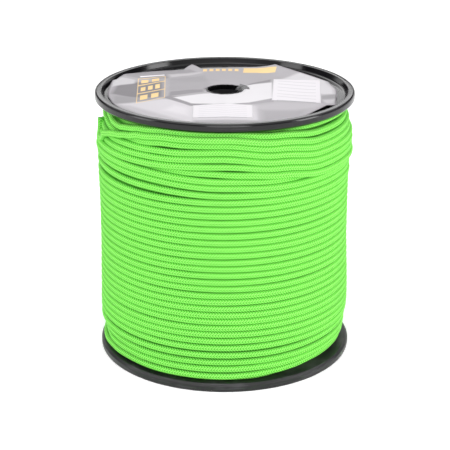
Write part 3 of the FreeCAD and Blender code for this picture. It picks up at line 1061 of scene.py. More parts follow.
@dataclass
class Winding:
    """The cord on the barrel: the last layer with its free end, the layer under it and the inner end."""

    # The cord and its turns.
    cord_radius: float = 3.0
    plait_repeat: float = 2.48
    plait_columns: int = 8
    squareness: float = 2.35
    last_layer_radius: float = 112.5
    under_layer_radius: float = 107.3
    pitch: float = 6.12
    top_turn_height: float = 226.0
    even_turns: int = 29
    bottom_turns: tuple[float, ...] = (14.0, 21.0, 27.2, 34.6, 42.2)
    rim_turn_height: float = 237.0
    crossing_drop: float = 6.0
    under_turns: int = 34
    under_bottom_height: float = 11.1
    squeezed_drop: float = 0.2
    crowded_turns: int = 6
    crowded_drop: float = 8.6
    crowded_ease: float = 1.2
    crowded_sink: float = 0.6
    steps_per_turn: int = 96
    step_up_share: float = 0.14
    # How the turns wander, and how they settle where they press on each other.
    wander: float = 0.28
    wander_waves: int = 3
    wander_share: float = 0.5
    radius_wander: float = 0.1
    last_layer_give: float = 0.35
    under_layer_give: float = 0.65
    pressed_gap: float = 0.985
    neighbour_gaps: float = 2.5
    push_share: float = 0.5
    settling_rounds: int = 90
    outermost: float = 114.8
    # How the swept turns start and stop.
    last_layer_sides: int = 14
    under_layer_sides: int = 10
    first_rise_rows: int = 24
    first_rise: Point = (-8.5, -2.0)
    under_fade_rows: int = 20
    under_fade: Point = (-6.0, 0.0)
    # The last turn stops before the first bearing. The free end is drawn as if it stopped at the second,
    # and goes on by its own rows of bearing, radius and height.
    free_end_leaves: float = -70.0
    free_end_bearing: float = -71.0
    free_end: tuple[tuple[float, float, float], ...] = (
        (-75.5, 114.0, 211.8), (-80.5, 113.6, 209.3), (-84.6, 113.2, 209.0), (-87.6, 112.9, 211.4),
        (-88.6, 112.6, 215.2), (-88.8, 112.4, 218.8), (-88.9, 112.3, 221.8),
    )
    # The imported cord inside, the inner end's knot, and the stubs on the cut end.
    core_inner_radius: float = 62.3
    core_depth: float = 5.3
    core_end_height: float = 8.3
    core_turns: int = 36
    core_steps_per_turn: int = 6
    core_segments: int = 96
    core_relief: float = 1.2
    core_roundness: float = 0.6
    knot_radius: float = 47.5
    knot_size: tuple[float, float, float] = (2.6, 2.6, 2.0)
    knot_depth: float = 1.6
    knot_steps: int = 110
    lead_radii: Point = (61.8, 56.5)
    inner_end_sides: int = 12
    stub_count: int = 16
    stub_circle_radius: float = 2.25
    stub_root: float = 0.5
    stub_lengths: Point = (0.5, 1.3)
    stub_lean: float = 0.35
    stub_radii: Point = (0.62, 0.42)
    stub_sides: int = 8
    # How far the winding stands out, as rows of height, left and right.
    bulges: tuple[tuple[float, float, float], ...] = (
        (10, 0.3, 0.9), (21, 0.0, -0.6), (27, -0.6, -1.6), (34, 0.9, -1.4), (45, 0.9, -0.2), (60, 0.7, 0.0),
        (85, 0.2, -0.9), (115, -0.3, -1.9), (150, -0.2, -2.0), (175, 0.5, -1.8), (190, 0.7, -0.8), (205, 0.5, 0.2),
        (226, 0.0, 0.0),
    )
    # The strays of single turns, counted from the bottom, or down from the top where the number is negative.
    strays: tuple[tuple[int, tuple[Stray, ...]], ...] = (
        (0, (
            (-180, -1.0, 1.0), (-120, -1.5, 0.8), (-90, -2.2, 0.4), (-78, -2.2, 0.6), (-66, -1.6, 1.8),
            (-50, -0.6, 2.4), (-24, 0, 1.0), (0, 0, 0.5), (12, 0.3, 1.5), (24, 0.9, 3.0), (33, 1.4, 4.0),
            (46, 2.2, 5.2), (60, 2.2, 5.8), (90, 1.5, 5.4), (130, 0, 2.0), (180, 0, 0),
        )),
        (1, (
            (-120, 0.8, 1.4), (-90, 1.8, 2.6), (-78, 1.5, 2.4), (-66, -0.4, 1.2), (-50, 0.2, 0.8), (-40, 0, 0.2),
            (0, -0.4, 0), (24, -0.2, 0.8), (46, 0.4, 1.8), (60, 0.6, 2.2), (90, 0.6, 2.2),
        )),
        (2, (
            (-120, 0.6, 0.6), (-90, 1.0, 1.4), (-72, 0.4, 0.8), (-40, 0, 0), (20, -0.2, 0.4), (60, 0.6, 0.6),
            (90, 1.0, 0.8),
        )),
        (3, ((20, 0, 0), (60, 1.2, 0.6), (90, 1.5, 1.0))),
        (-8, ((-75, 3.7, 0), (-40, 2.6, 0), (0, 0.2, 0), (45, -0.6, 0))),
        (-7, ((-75, 4.9, 0), (-40, 4.4, 0), (0, 0.6, 0), (24, -1.1, 0), (60, -0.8, 0))),
        (-6, ((-75, 6.5, 0), (-40, 5.3, 0), (0, 1.1, 0), (24, -0.9, 0.3), (52, -2.3, 4.8), (90, -2.6, 4.8))),
        (-5, (
            (-90, 0, 4.8), (-48, 1.2, 4.8), (-8, 1.4, 0.4), (10, 0.2, 0), (24, -2.0, 0), (48, -6.8, 0),
            (88, -6.4, -0.8),
        )),
        (-4, ((-75, -1.0, 0), (-40, -0.8, 0), (0, 1.3, 0), (24, -2.8, 0), (46, -7.5, 0), (90, -7.2, -0.6))),
        (-3, (
            (-90, -1.8, 0.5), (-75, -2.6, 0.8), (-53, -2.4, 0), (-34, -1.2, 0), (0, 2.4, 0), (24, -2.6, 0),
            (46, -8.3, 0), (90, -7.8, -0.8),
        )),
        (-2, (
            (-120, -2.0, 0), (-90, -3.5, 2.0), (-75, -4.5, 2.0), (-62, -4.2, 0.8), (-44, -1.7, 0), (-26, -0.4, 0),
            (0, 2.9, 0), (24, -3.0, 0), (46, -8.6, 0), (90, -8.0, -0.6),
        )),
        (-1, (
            (-180, 10.5, 6.2), (-100, 10.8, 5.6), (-80, 10.0, 4.8), (-73, 4.5, 3.6), (-68, 0.5, 3.0),
            (-63, -2.8, 3.4), (-56, -3.8, 3.9), (-48, -3.8, 3.4), (-40, -3.0, 0.8), (-26, 0.2, 0), (0, 1.8, 0),
            (24, -3.4, 0), (46, -9.0, 0), (90, -8.5, 1.5), (130, -3.0, 0.5), (180, 0, 0),
        )),
    )
    under_rim: tuple[Stray, ...] = (
        (-180, 0, 11.5), (-80, 0, 11.5), (-72, 0.5, 8.0), (-66, 0.5, 3.5), (-60, -3.6, 1.5), (-54, -5.4, 0.8),
        (-47, -3.4, 0.6), (-40, -1.2, 0.6), (-26, 1.4, 0.8), (0, 1.2, 1.0), (24, -2.8, 1.0), (46, -7.4, 2.5),
        (90, -8.5, 5.0), (130, -1.5, 5.5), (180, 0, 6.5),
    )
    crossing: tuple[Stray, ...] = (
        (-90, -17.0, -1.7), (-72, -17.0, -2.2), (-66, -13.0, -2.2), (-60, -9.4, -2.0), (-54, -6.8, -1.5),
        (-48, -4.4, -0.8), (-40, -0.5, -0.3), (-26, 2.8, -0.3), (0, 3.0, -0.3), (24, -3.0, 0), (46, -8.6, 0.6),
        (90, -8.0, 2.6), (130, -1.0, 2.0), (180, -1.0, 4.0),
    )
    squeezed_in: tuple[Stray, ...] = (
        (-180, 0, 7.0), (-85, 0, 7.0), (-75, 0, 3.5), (-62, -0.3, 1.0), (-45, -0.8, 0.6), (-22, 0, 2.0),
        (0, 0, 6.0), (16, 0, 7.0), (44, 0, 0), (90, 0, -1.5), (112, 0, 0), (140, 0, 7.0), (180, 0, 7.0),
    )
    bottom_sinks: tuple[Point, ...] = ((4.0, 8.0), (3.2, 5.0), (2.2, 2.4), (1.0, 1.0))

    def last_turns(self) -> list[Turn]:
        """Lists the last layer's turns in the order that they were wound, with the strays of the end ones.

        Returns:
            The turns.
        """
        heights = [self.top_turn_height - self.pitch * down for down in range(self.even_turns, -1, -1)]
        turns = [Turn(height) for height in (*self.bottom_turns, *heights)]
        for index, strays in self.strays:
            turns[index] = Turn(turns[index].height, strays)
        # The last two turns cross the ones below them, and the very last one ends as the free end.
        turns.append(Turn(self.rim_turn_height, self.under_rim))
        turns.append(Turn(self.rim_turn_height - self.crossing_drop, self.crossing))
        return turns

    def under_layer_turns(self) -> list[Turn]:
        """Lists the turns of the layer under the last one, from the bottom up.

        Returns:
            The turns.
        """
        turns = [Turn(self.under_bottom_height + self.pitch * index) for index in range(self.under_turns)]
        # The lowest turns lie deep on both sides of the front, where the last layer has sunk.
        for index, (left, right) in enumerate(self.bottom_sinks):
            keys = ((-150, 0, 0), (-120, 0, left), (-50, 0, left), (-20, 0, 1.0), (12, 0, 1.0), (40, 0, right))
            turns[index] = Turn(turns[index].height, (*keys, (100, 0, right)))
        # The highest ones are crowded down on the right, most in the middle of the crowd.
        for down in range(1, self.crowded_turns + 1):
            crowded = -self.crowded_drop + self.crowded_ease * abs(down - self.crowded_turns // 2)
            sunk = self.crowded_sink * down
            turns[-down] = Turn(turns[-down].height, ((0, 0, 0), (48, crowded, sunk), (95, crowded, sunk)))
        return [*turns, Turn(self.rim_turn_height - self.squeezed_drop, self.squeezed_in)]

    def bearings(self) -> np.ndarray:
        """Gives the bearings of one turn's points, from the back round by the front's right."""
        return 180 - 360 * np.arange(self.steps_per_turn) / self.steps_per_turn

    def bulge(self, bearing: np.ndarray, height: float) -> np.ndarray:
        """Gives how far the winding stands out, which isn't the same on its left and right.

        Args:
            bearing: the bearings to give it for.
            height: the turn's height.

        Returns:
            How far it stands out at each bearing.
        """
        heights, left, right = np.array(self.bulges).T
        lean = 0.5 + 0.5 * np.sin(np.radians(bearing))
        return np.interp(height, heights, left) * (1 - lean) + np.interp(height, heights, right) * lean

    def columns(self, turns: list[Turn], radius: float, rng: np.random.Generator) -> tuple[np.ndarray, np.ndarray]:
        """Gives each turn's radius and height at each bearing.

        Args:
            turns: the turns from the bottom up.
            radius: the layer's centre radius.
            rng: the source of the small wander.

        Returns:
            Two arrays, one row for each turn.
        """
        bearing = self.bearings()
        angle = np.radians(bearing)
        out, up = [], []
        for turn in turns:
            rise, sink = turn.strayed(bearing)
            phase = rng.uniform(0, 2 * np.pi, self.wander_waves)
            size = rng.normal(0, self.wander, self.wander_waves)
            waves = sum(size[k] * np.sin((k + 1) * angle + phase[k]) for k in range(self.wander_waves))
            up.append(turn.height + rise + waves * self.wander_share)
            out.append(radius - sink + self.bulge(bearing, turn.height) + rng.normal(0, self.radius_wander))
        return np.array(out), np.array(up)

    def relaxed(self, layers: list[tuple[np.ndarray, np.ndarray]]) -> list[tuple[np.ndarray, np.ndarray]]:
        """Pushes turns that overlap apart, at every bearing.

        Args:
            layers: the last layer's radii and heights, then those of the layer under it.

        Returns:
            The layers after they have settled.
        """
        out = np.concatenate([layer[0] for layer in layers])
        up = np.concatenate([layer[1] for layer in layers])
        first_out, first_up = out.copy(), up.copy()
        give = np.repeat([self.last_layer_give, self.under_layer_give], [len(layer[0]) for layer in layers])
        least = 2 * self.cord_radius * self.pressed_gap
        low = FLANGE_THICKNESS + self.cord_radius
        high = OVERALL_HEIGHT - FLANGE_THICKNESS - self.cord_radius
        first, second = np.triu_indices(len(out), 1)
        # Turns that never come near each other are left out of the count.
        near = np.abs(up[first] - up[second]).min(1) < self.neighbour_gaps * least
        first, second = first[near], second[near]
        share = give[first] / (give[first] + give[second])
        for _ in range(self.settling_rounds):
            step_out, step_up = out[second] - out[first], up[second] - up[first]
            apart = np.maximum(np.hypot(step_out, step_up), TINY)
            push = np.clip(least - apart, 0, None) * self.push_share
            push_out, push_up = push * step_out / apart, push * step_up / apart
            for target, sign, part in ((first, -1, share), (second, 1, 1 - share)):
                np.add.at(out, target, sign * push_out * part[:, None])
                np.add.at(up, target, sign * push_up * part[:, None])
            up = np.clip(first_up + self.eased(up - first_up), low, high)
            out = np.clip(first_out + self.eased(out - first_out), None, self.outermost)
        split = len(layers[0][0])
        return [(out[:split], up[:split]), (out[split:], up[split:])]

    @staticmethod
    def eased(moved: np.ndarray) -> np.ndarray:
        """Spreads a push along the cord, because a cord doesn't kink.

        Args:
            moved: how far each point of each turn has been pushed.

        Returns:
            The same, mixed with the pushes on the points before and after it.
        """
        line = moved.ravel()
        ahead = np.append(line[1:], line[-1])
        behind = np.append(line[:1], line[:-1])
        return (0.5 * line + 0.25 * ahead + 0.25 * behind).reshape(moved.shape)

    def route(self, out: np.ndarray, up: np.ndarray) -> np.ndarray:
        """Strings a layer's turns into one path that steps up at the back.

        Args:
            out: the radius of each turn at each bearing.
            up: the height of each turn at each bearing.

        Returns:
            The path as rows of bearing, radius and height.
        """
        bearing = self.bearings()
        span = self.step_up_share * 360
        share = smoothstep((span - (bearing + 180)) / span)
        columns = [np.concatenate([bearing - 360 * index for index in range(len(out))])]
        for regular in (out, up):
            next_start = np.vstack([regular[1:], regular[-1:]])[:, :1]
            mixed = regular * (1 - share) + next_start * share
            mixed[-1] = regular[-1]
            columns.append(mixed.ravel())
        return np.stack(columns, -1)

    @staticmethod
    def to_points(route: np.ndarray) -> np.ndarray:
        """Turns rows of bearing, radius and height into points."""
        angle = np.radians(route[:, 0])
        return np.stack([route[:, 1] * np.sin(angle), -route[:, 1] * np.cos(angle), route[:, 2]], -1)

    def tube(self, route: np.ndarray, sides: int) -> Shell:
        """Sweeps the cord's pressed section along a route.

        Args:
            route: rows of bearing, radius and height.
            sides: how many sides the section has.

        Returns:
            The closed tube.
        """
        angle = np.radians(route[:, 0])
        outward = np.stack([np.sin(angle), -np.cos(angle), np.zeros(len(angle))], -1)
        plait = (self.cord_radius, self.plait_repeat, self.plait_columns, self.squareness)
        return swept(self.to_points(route), outward, sides, *plait)

    def last_layer(self, out: np.ndarray, up: np.ndarray) -> tuple[Object, np.ndarray]:
        """Builds the last layer as one unbroken cord with its upright free end.

        Args:
            out: the settled radius of each turn.
            up: the settled height of each turn.

        Returns:
            The piece, and the point where its free end stops.
        """
        route = self.route(out, up)
        rising = smoothstep(np.linspace(0, 1, self.first_rise_rows))[:, None]
        route[: self.first_rise_rows, 1:] += (1 - rising) * np.array([self.first_rise])
        last_start = (len(out) - 1) * self.steps_per_turn
        body = route[: last_start + int(np.searchsorted(-self.bearings(), -self.free_end_leaves))]
        wound = np.array([body[-1, 0] - self.free_end_bearing, 0.0, 0.0])
        handles = np.vstack([body[-2:], np.array(self.free_end) + wound])
        whole = np.vstack([body, smooth_through(handles, 5)[5:]])
        piece = new_mesh("last_cord_layer", *self.tube(whole, self.last_layer_sides))
        return piece, self.to_points(whole[-1:])[0]

    def under_layer(self, out: np.ndarray, up: np.ndarray) -> Object:
        """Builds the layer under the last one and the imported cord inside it.

        Args:
            out: the settled radius of each turn.
            up: the settled height of each turn.

        Returns:
            The piece.
        """
        route = self.route(out, up)
        fade = smoothstep(np.linspace(0, 1, self.under_fade_rows))[:, None]
        route[: self.under_fade_rows, 1:] += (1 - fade) * np.array([self.under_fade])
        route[-self.under_fade_rows :, 1:] += fade * np.array([self.under_fade])
        return new_mesh("wound_under_layer", *joined([self.tube(route, self.under_layer_sides), self.packed_core()]))

    def packed_core(self) -> Shell:
        """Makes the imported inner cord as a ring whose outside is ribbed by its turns.

        Returns:
            The ring.
        """
        low, high = self.core_end_height, OVERALL_HEIGHT - self.core_end_height
        crest = self.under_layer_radius - self.core_depth
        count = self.core_turns * self.core_steps_per_turn
        outline = [(self.core_inner_radius, low)]
        for index in range(count + 1):
            rib = abs(math.sin(math.pi * (index / self.core_steps_per_turn))) ** self.core_roundness
            outline.append((crest - self.core_relief + self.core_relief * rib, low + (high - low) * index / count))
        outline.append((self.core_inner_radius, high))
        points, faces = spun(outline, self.core_segments)
        along = np.arange(self.core_segments + 1) * 2 * np.pi * crest / self.core_segments / self.plait_repeat
        around = np.arange(len(outline) + 1) * self.plait_columns / 2 / self.core_steps_per_turn
        return points, faces, grid_uvs(along, around)

    def inner_end(self) -> Object:
        """Builds the cord's inner end: a pulled-tight overhand knot and the lead through the barrel wall.

        Returns:
            The piece.
        """
        # The closed line of an overhand knot, left open where the lead comes in.
        turn = np.linspace(0.35, 2 * np.pi + 0.1, self.knot_steps)
        wide, tall = np.sin(turn) + 2 * np.sin(2 * turn), np.cos(turn) - 2 * np.cos(2 * turn)
        knot = np.stack([wide, tall, -self.knot_depth * np.sin(3 * turn)], -1) * np.array(self.knot_size)
        low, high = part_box("cord_start_knot")
        middle = np.add(low, high) / 2 / MM
        level, upright = np.array([0.0, 0.0, middle[2]]), np.array([0.0, 0.0, 1.0])
        outward = np.array([middle[0], middle[1], 0.0])
        outward /= np.linalg.norm(outward)
        across = np.cross(outward, upright)
        centre = outward * self.knot_radius + level
        line = centre + knot[:, :1] * across + knot[:, 1:2] * upright + knot[:, 2:] * outward
        lead = [outward * radius + level for radius in self.lead_radii]
        points = smooth_through(np.vstack([*lead, line]), 2)
        side = np.broadcast_to(across * 0.3 + np.array([0.1, 0.2, 0.95]), points.shape)
        plait = (self.cord_radius, self.plait_repeat, self.plait_columns)
        return new_mesh("inner_end_knot", *swept(points, side, self.inner_end_sides, *plait))

    def cut_end(self, tip: np.ndarray) -> Object:
        """Builds the free end's cut face: the strands' heat-sealed stubs, a little longer and shorter.

        Args:
            tip: the point where the free end stops.

        Returns:
            The piece.
        """
        rng = np.random.default_rng(8)
        stubs = []
        for index in range(self.stub_count):
            angle = 2 * math.pi * (index + 0.5) / self.stub_count
            direction = np.array([math.cos(angle), math.sin(angle), 0.0])
            length = rng.uniform(*self.stub_lengths)
            lean = rng.uniform(0.0, self.stub_lean)
            root = tip + direction * self.stub_circle_radius - np.array([0, 0, self.stub_root])
            end = root + np.array([0, 0, length + self.stub_root]) + direction * lean
            line = smooth_through(np.array([root, (root + end) / 2, end]), 4)
            width = np.linspace(*self.stub_radii, len(line))
            side = np.broadcast_to(direction, line.shape)
            stubs.append(swept(line, side, self.stub_sides, width, self.plait_repeat, 1))
        return new_mesh("cord_cut_end", *joined(stubs))

    def dress(self, finish: Material) -> None:
        """Winds the cord and gives it its braid.

        Args:
            finish: the braid.
        """
        rng = np.random.default_rng(21)
        layers = [
            self.columns(self.last_turns(), self.last_layer_radius, rng),
            self.columns(self.under_layer_turns(), self.under_layer_radius, rng),
        ]
        last, under = self.relaxed(layers)
        last_layer, tip = self.last_layer(*last)
        place(last_layer, finish, Slot.CORD, "cord_outer_layer")
        place(self.under_layer(*under), finish, Slot.CORD, "cord_inner_layers")
        place(self.inner_end(), finish, Slot.CORD, "cord_start_knot")
        place(self.cut_end(tip), finish, Slot.CORD)


@dataclass(frozen=True)
class Sticker:
    """One sticker on the film: its box before it is turned, its turn in degrees, and its CAD node."""

    name: str
    left: float
    right: float
    front: float
    back: float
    turn: float
    node: str


@dataclass
class Label:
    """The printed film on the top flange, its torn flap and its two stickers.

    The film's edge is rows of x, y and how far it curls up, and a crease is a bearing from +X and a rise.
    """

    hub_radius: float = 30.0
    hub_height: float = 247.0
    web_radius: float = 101.5
    web_height: float = 242.5
    film_gap: float = 0.15
    film_thickness: float = 0.3
    film_steps: int = 288
    film_rings: int = 44
    rag: float = 0.25
    rag_steps: int = 60
    eye_radius: float = 17.5
    eye_forward: float = 3.2
    tear_bearing: float = 24.0
    tear_half_width: float = 27.0
    tear_reach: float = 22.5
    tear_steepness: float = 1.8
    sag: float = 0.8
    rib_count: int = 6
    rib_angle: float = 30.0
    crease_half_width: float = 9.0
    crease_hurry: float = 1.15
    curl_from: float = 0.72
    curl_share: float = 0.28
    flap_radius: float = 22.3
    flap_length: float = 9.4
    flap_forward: float = 2.0
    flap_droop: float = 3.0
    flap_crown: float = 0.6
    flap_scallop: float = 1.2
    flap_taper: float = 0.3
    flap_columns: int = 13
    flap_rows: int = 11
    paper_gap: float = 0.06
    paper_thickness: float = 0.2
    paper_columns: int = 40
    paper_rows: int = 44
    stickers: tuple[Sticker, ...] = (
        Sticker("right_sticker", 43.5, 87.0, -35.5, 41.0, -3.0, "barcode_sticker"),
        Sticker("front_sticker", -28.0, 24.2, -82.0, -48.5, 0.0, "info_sticker"),
    )
    edge: tuple[tuple[float, float, float], ...] = (
        (101.8, 9, 1.0), (100.8, -11, 0.9), (99, -24, 0.6), (97.9, -40, 0.2), (88.9, -54, 4.2), (69.5, -73.7, 0.3),
        (30, -103, 0), (-12, -104, 0), (-46, -97, 0), (-86, -62, 0), (-99.3, -34, 0.1), (-102.8, -20.5, 0.3),
        (-104.4, -15, 0.5), (-106, -3, 0.8), (-105.6, 12, 1.8), (-105, 20, 3.0), (-103.8, 32, 3.6),
        (-100.4, 34, 3.8), (-97, 45, 4.0), (-94.4, 53, 4.0), (-80.3, 64.5, 2.4), (-71.2, 72.2, 1.4),
        (-57.2, 78, 0.6), (-40, 80.5, 0.3), (-35.6, 94, 1.0), (-31.8, 100.7, 1.4), (-27.9, 95.5, 1.0),
        (-23.8, 86.2, 0.3), (-9.4, 88.2, 0.2), (14.6, 90.5, 0.4), (32, 91.8, 0.9), (41.9, 92.4, 2.0),
        (48.4, 94, 3.2), (72.4, 65.5, 2.0), (96.3, 37, 0.9), (98.6, 24, 0.9),
    )
    creases: tuple[Point, ...] = (
        (-152.0, 0.3), (-121.0, -0.3), (-88.0, 0.3), (-27.0, 0.4), (-12.0, -0.3), (42.0, -0.4), (66.0, 0.3),
        (118.0, -0.4), (142.0, 0.3), (168.0, -0.4),
    )

    def edge_at(self, angle: np.ndarray) -> tuple[np.ndarray, np.ndarray]:
        """Finds the film's edge at angles from +X.

        Args:
            angle: the angles in radians.

        Returns:
            The edge's radius and how far it curls up.
        """
        start = np.array(self.edge, float)
        end = np.roll(start, -1, 0)
        span = end - start
        reach, lift = np.zeros(len(angle)), np.zeros(len(angle))
        for index, turn in enumerate(angle):
            ray = (math.cos(turn), math.sin(turn))
            cross = span[:, 0] * ray[1] - span[:, 1] * ray[0]
            cross = np.where(np.abs(cross) < TINY, TINY, cross)
            far = (start[:, 1] * span[:, 0] - start[:, 0] * span[:, 1]) / cross
            part = (start[:, 1] * ray[0] - start[:, 0] * ray[1]) / cross
            hit = np.where((part >= -TINY) & (part <= 1 + TINY) & (far > 0))[0][0]
            reach[index] = far[hit]
            lift[index] = start[hit, 2] + span[hit, 2] * part[hit]
        return reach, lift

    def surface_height(self, x: np.ndarray, y: np.ndarray) -> np.ndarray:
        """Gives the height of the film's underside over a place.

        Args:
            x: the places' x.
            y: the places' y.

        Returns:
            The heights.
        """
        radius, angle = np.hypot(x, y), np.arctan2(y, x)
        slope = np.clip((radius - self.hub_radius) / (self.web_radius - self.hub_radius), 0, 1)
        height = self.hub_height + (self.web_height - self.hub_height) * slope
        # The film hangs between the flange's ribs.
        hang = 0.5 - 0.5 * np.cos(self.rib_count * (angle - math.radians(self.rib_angle)))
        height = height - self.sag * hang * np.sin(np.pi * slope)
        for bearing, rise in self.creases:
            away = np.abs(np.angle(np.exp(1j * (angle - math.radians(bearing))))) * radius
            ridge = rise * np.clip(1 - away / self.crease_half_width, 0, 1)
            height = height + ridge * np.sin(np.pi * np.clip(slope * self.crease_hurry, 0, 1))
        reach, lift = (part.reshape(radius.shape) for part in self.edge_at(np.ravel(angle)))
        curl = smoothstep((radius / reach - self.curl_from) / self.curl_share) * lift
        return np.maximum(height, self.web_height) + self.film_gap + curl

    def film(self) -> Object:
        """Builds the film from its torn eye to its cut edge.

        Returns:
            The piece.
        """
        turn = np.linspace(-np.pi, np.pi, self.film_steps, endpoint=False)
        reach, _ = self.edge_at(turn)
        torn = np.clip(1 - np.abs(np.degrees(turn) - self.tear_bearing) / self.tear_half_width, 0, 1)
        rags = np.random.default_rng(5).normal(0, self.rag, self.rag_steps)
        ragged = np.interp(turn, np.linspace(-np.pi, np.pi, self.rag_steps), rags)
        opened = (self.tear_reach - self.eye_radius) * np.minimum(torn * self.tear_steepness, 1)
        inner = self.eye_radius + ragged + opened
        part = (np.linspace(0, 1, self.film_rings) ** 0.9)[:, None]
        radius = inner * (1 - part) + reach * part
        x, y = radius * np.cos(turn), radius * np.sin(turn) - self.eye_forward * (1 - part) ** 3
        points = np.stack([x, y, self.surface_height(x, y)], -1).reshape(-1, 3)
        faces = grid_faces(self.film_rings, self.film_steps, close_columns=True)[:, ::-1]
        return thickened(new_mesh("printed_film_label", points, faces), self.film_thickness)

    def flap(self) -> Object:
        """Builds the torn scrap of film that lies in the tear beside the eye.

        Returns:
            The piece.
        """
        along = np.linspace(0, 1, self.flap_rows)[:, None]
        across = np.linspace(-1, 1, self.flap_columns)[None, :]
        half_width = math.radians(self.tear_half_width)
        angle = math.radians(self.tear_bearing) + across * half_width * (1 - self.flap_taper * along)
        radius = self.flap_radius - self.flap_length * along + self.flap_scallop * np.cos(5 * across) * along
        x, y = radius * np.cos(angle), radius * np.sin(angle) - self.flap_forward
        crown = self.flap_crown * np.sin(np.pi * along) * (1 - across**2)
        z = self.hub_height + self.film_thickness + crown - self.flap_droop * along**2
        points = np.stack(np.broadcast_arrays(x, y, z), -1).reshape(-1, 3)
        flap = new_mesh("torn_label_flap", points, grid_faces(self.flap_rows, self.flap_columns))
        return thickened(flap, self.film_thickness)

    def paper(self, sticker: Sticker) -> Object:
        """Builds a sticker that follows the film.

        Args:
            sticker: which one.

        Returns:
            The piece.
        """
        u, v = np.meshgrid(np.linspace(0, 1, self.paper_columns), np.linspace(0, 1, self.paper_rows))
        local_x, local_y = (u - 0.5) * (sticker.right - sticker.left), (v - 0.5) * (sticker.back - sticker.front)
        cos, sin = math.cos(math.radians(sticker.turn)), math.sin(math.radians(sticker.turn))
        x = (sticker.left + sticker.right) / 2 + local_x * cos - local_y * sin
        y = (sticker.front + sticker.back) / 2 + local_x * sin + local_y * cos
        z = self.surface_height(x, y) + self.film_thickness + self.paper_gap
        faces = grid_faces(self.paper_rows, self.paper_columns)
        spot = np.stack([u, v], -1).reshape(-1, 2)
        piece = new_mesh(sticker.name, np.stack([x, y, z], -1).reshape(-1, 3), faces, spot[faces])
        return thickened(piece, self.paper_thickness)

    def dress(self, film: Material, paper: Material, scrap: Material) -> None:
        """Builds the label and stickers and gives them their finishes.

        Args:
            film: the printed side's finish.
            paper: the stickers' finish.
            scrap: the finish of the film's torn scrap, painted dark with shade.
        """
        place(self.film(), film, Slot.FILM, "main_label")
        place(self.flap(), scrap, Slot.FILM)
        for sticker in self.stickers:
            place(self.paper(sticker), paper, Slot.PAPER, sticker.node)


@dataclass(frozen=True)
class Softbox:
    """One soft lamp: its centre, its width and height in metres, and its power in watts."""

    name: str
    where: tuple[float, float, float]
    size: Point
    power: float

    def hang(self, target: tuple[float, float, float]) -> None:
        """Hangs the lamp so that it faces a target.

        Args:
            target: the place that it faces, in metres.
        """
        data = bpy.data.lights.new(self.name, "AREA")
        data.shape = "RECTANGLE"
        data.size, data.size_y = self.size
        data.energy = self.power
        facing = (Vector(target) - Vector(self.where)).to_track_quat("-Z", "Y")
        linked(self.name, data).matrix_world = Matrix.Translation(self.where) @ facing.to_matrix().to_4x4()


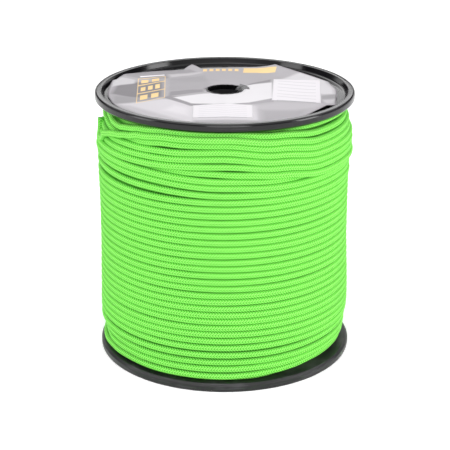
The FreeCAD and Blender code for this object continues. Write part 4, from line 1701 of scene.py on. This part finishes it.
@dataclass
class Studio:
    """The white floor and backdrop, the soft lights and the photograph's camera."""

    lens_mm: float = 118.43
    sensor_mm: float = 36.0
    clip_metres: Point = (0.05, 50.0)
    camera_distance: float = 1385.3
    camera_elevation: float = 20.411
    camera_roll: float = 0.052
    target_height: float = 115.52
    sideways: float = 0.3
    white: str = "#FFFFFF"
    dim_wall: str = "#4A4A4C"
    world_strength: float = 0.62
    floor_reach: float = 3.0
    floor_back: float = 1.6
    sweep_radius: float = 0.9
    sweep_degrees: float = 60.0
    sweep_steps: int = 16
    lit_place: tuple[float, float, float] = (0.0, 0.0, 0.13)
    softboxes: tuple[Softbox, ...] = (
        Softbox("top_softbox", (-0.25, -0.35, 1.55), (1.2, 1.0), 5.0),
        Softbox("left_softbox", (-1.5, -0.45, 0.6), (0.6, 1.0), 6.0),
        Softbox("right_softbox", (1.5, -0.45, 0.6), (0.6, 1.0), 10.6),
        Softbox("front_softbox", (0.1, -1.9, 0.6), (1.2, 0.8), 11.0),
        Softbox("rear_softbox", (0.0, 0.6, 0.59), (0.56, 0.4), 1.3),
    )

    def camera(self) -> None:
        """Places the camera where the photograph was taken from."""
        elevation, roll = math.radians(self.camera_elevation), math.radians(self.camera_roll)
        back = Vector((0, -math.cos(elevation), math.sin(elevation)))
        right = Vector((1, 0, 0))
        up = back.cross(right)
        level_right = right * math.cos(roll) + up * math.sin(roll)
        level_up = up * math.cos(roll) - right * math.sin(roll)
        where = Vector((self.sideways, 0, self.target_height)) + back * self.camera_distance
        data = bpy.data.cameras.new("photograph_camera")
        data.lens = self.lens_mm
        data.sensor_width = self.sensor_mm
        data.clip_start, data.clip_end = self.clip_metres
        turn = Matrix((level_right, level_up, back)).transposed().to_4x4()
        camera = linked("photograph_camera", data)
        camera.matrix_world = Matrix.Translation(where * MM) @ turn
        bpy.context.scene.camera = camera

    def floor(self) -> None:
        """Makes the floor, which curves up into the backdrop."""
        profile = [(-self.floor_reach, 0.0), (self.floor_back, 0.0)]
        for step in range(1, self.sweep_steps + 1):
            turn = math.radians(self.sweep_degrees) * step / self.sweep_steps
            rise = self.sweep_radius * (1 - math.cos(turn))
            profile.append((self.floor_back + self.sweep_radius * math.sin(turn), rise))
        points = np.array([(x, y, z) for y, z in profile for x in (-self.floor_reach, self.floor_reach)]) / MM
        floor = new_mesh("studio_floor", points, grid_faces(len(profile), 2))
        floor.data.materials.append(StudioWhite("studio_white_paper").material())

    def air(self) -> None:
        """Makes the world: white where it is looked at, and an even soft light on the reel."""
        world = bpy.data.worlds.new("studio_air")
        world.use_nodes = True
        tree = world.node_tree
        tree.nodes.clear()
        white = linear(self.white)
        # The room's dim wall stands between the white sweep and the lit ceiling, and shows only in gloss.
        height = add_node(tree, "SeparateXYZ", {0: add_node(tree, "TexCoord").outputs["Generated"]}).outputs[2]
        wall = [(0.1, self.white), (0.16, self.dim_wall), (0.36, self.dim_wall), (0.6, self.white)]
        room = add_node(tree, "ValToRGB", {0: height}, stops=wall)
        glossy = add_node(tree, "LightPath").outputs["Is Glossy Ray"]
        colour = add_node(tree, "Mix", {"Factor": glossy, "A": white, "B": room}, data_type="RGBA")
        strength = add_node(tree, "MapRange", {"Value": seen_white(tree), "To Min": self.world_strength, "To Max": 1.0})
        sky = add_node(tree, "Background", {"Color": colour, "Strength": strength})
        add_node(tree, "OutputWorld", {"Surface": sky})
        bpy.context.scene.world = world

    def build(self) -> None:
        """Sets up the whole studio."""
        self.camera()
        self.floor()
        for softbox in self.softboxes:
            softbox.hang(self.lit_place)
        self.air()
        bpy.context.scene.view_settings.view_transform = "Standard"


def main() -> None:
    """Builds the studio and the reel's looks, sub-assembly by sub-assembly."""
    logging.basicConfig(level=logging.INFO, format="%(name)s %(message)s")
    Studio().build()
    glossy = MouldedPolypropylene("moulded_black_polypropylene")
    # The bottom flange gets a paler, rougher copy of the same plastic.
    paler_rougher = MouldedPolypropylene(
        "paler_rougher_black_polypropylene", base="#201E22", rubbed="#444146", roughness_low=0.34, roughness_high=0.48
    )
    Flange().dress(glossy.material(), paler_rougher.material())
    Winding().dress(BraidedPolypropylene("braided_green_polypropylene").material())
    film, paper = MetallisedFilm("printed_polyester_film"), CoatedPaper("coated_white_paper")
    Label().dress(film.material(), paper.material(), FilmScrap("torn_film_painted_shade").material())
    tube = MouldedPolypropylene("extruded_black_tube", base="#222124", roughness_low=0.5, roughness_high=0.6).material()
    for name in ("core_tube", "arbor_tube"):
        dress_node(name, tube)
    steel = ZincPlatedSteel("zinc_plated_steel").material()
    for name in ("tie_bolts", "tie_nuts", "pocket_washers"):
        dress_node(name, steel)


if __name__ == "__main__":
    main()
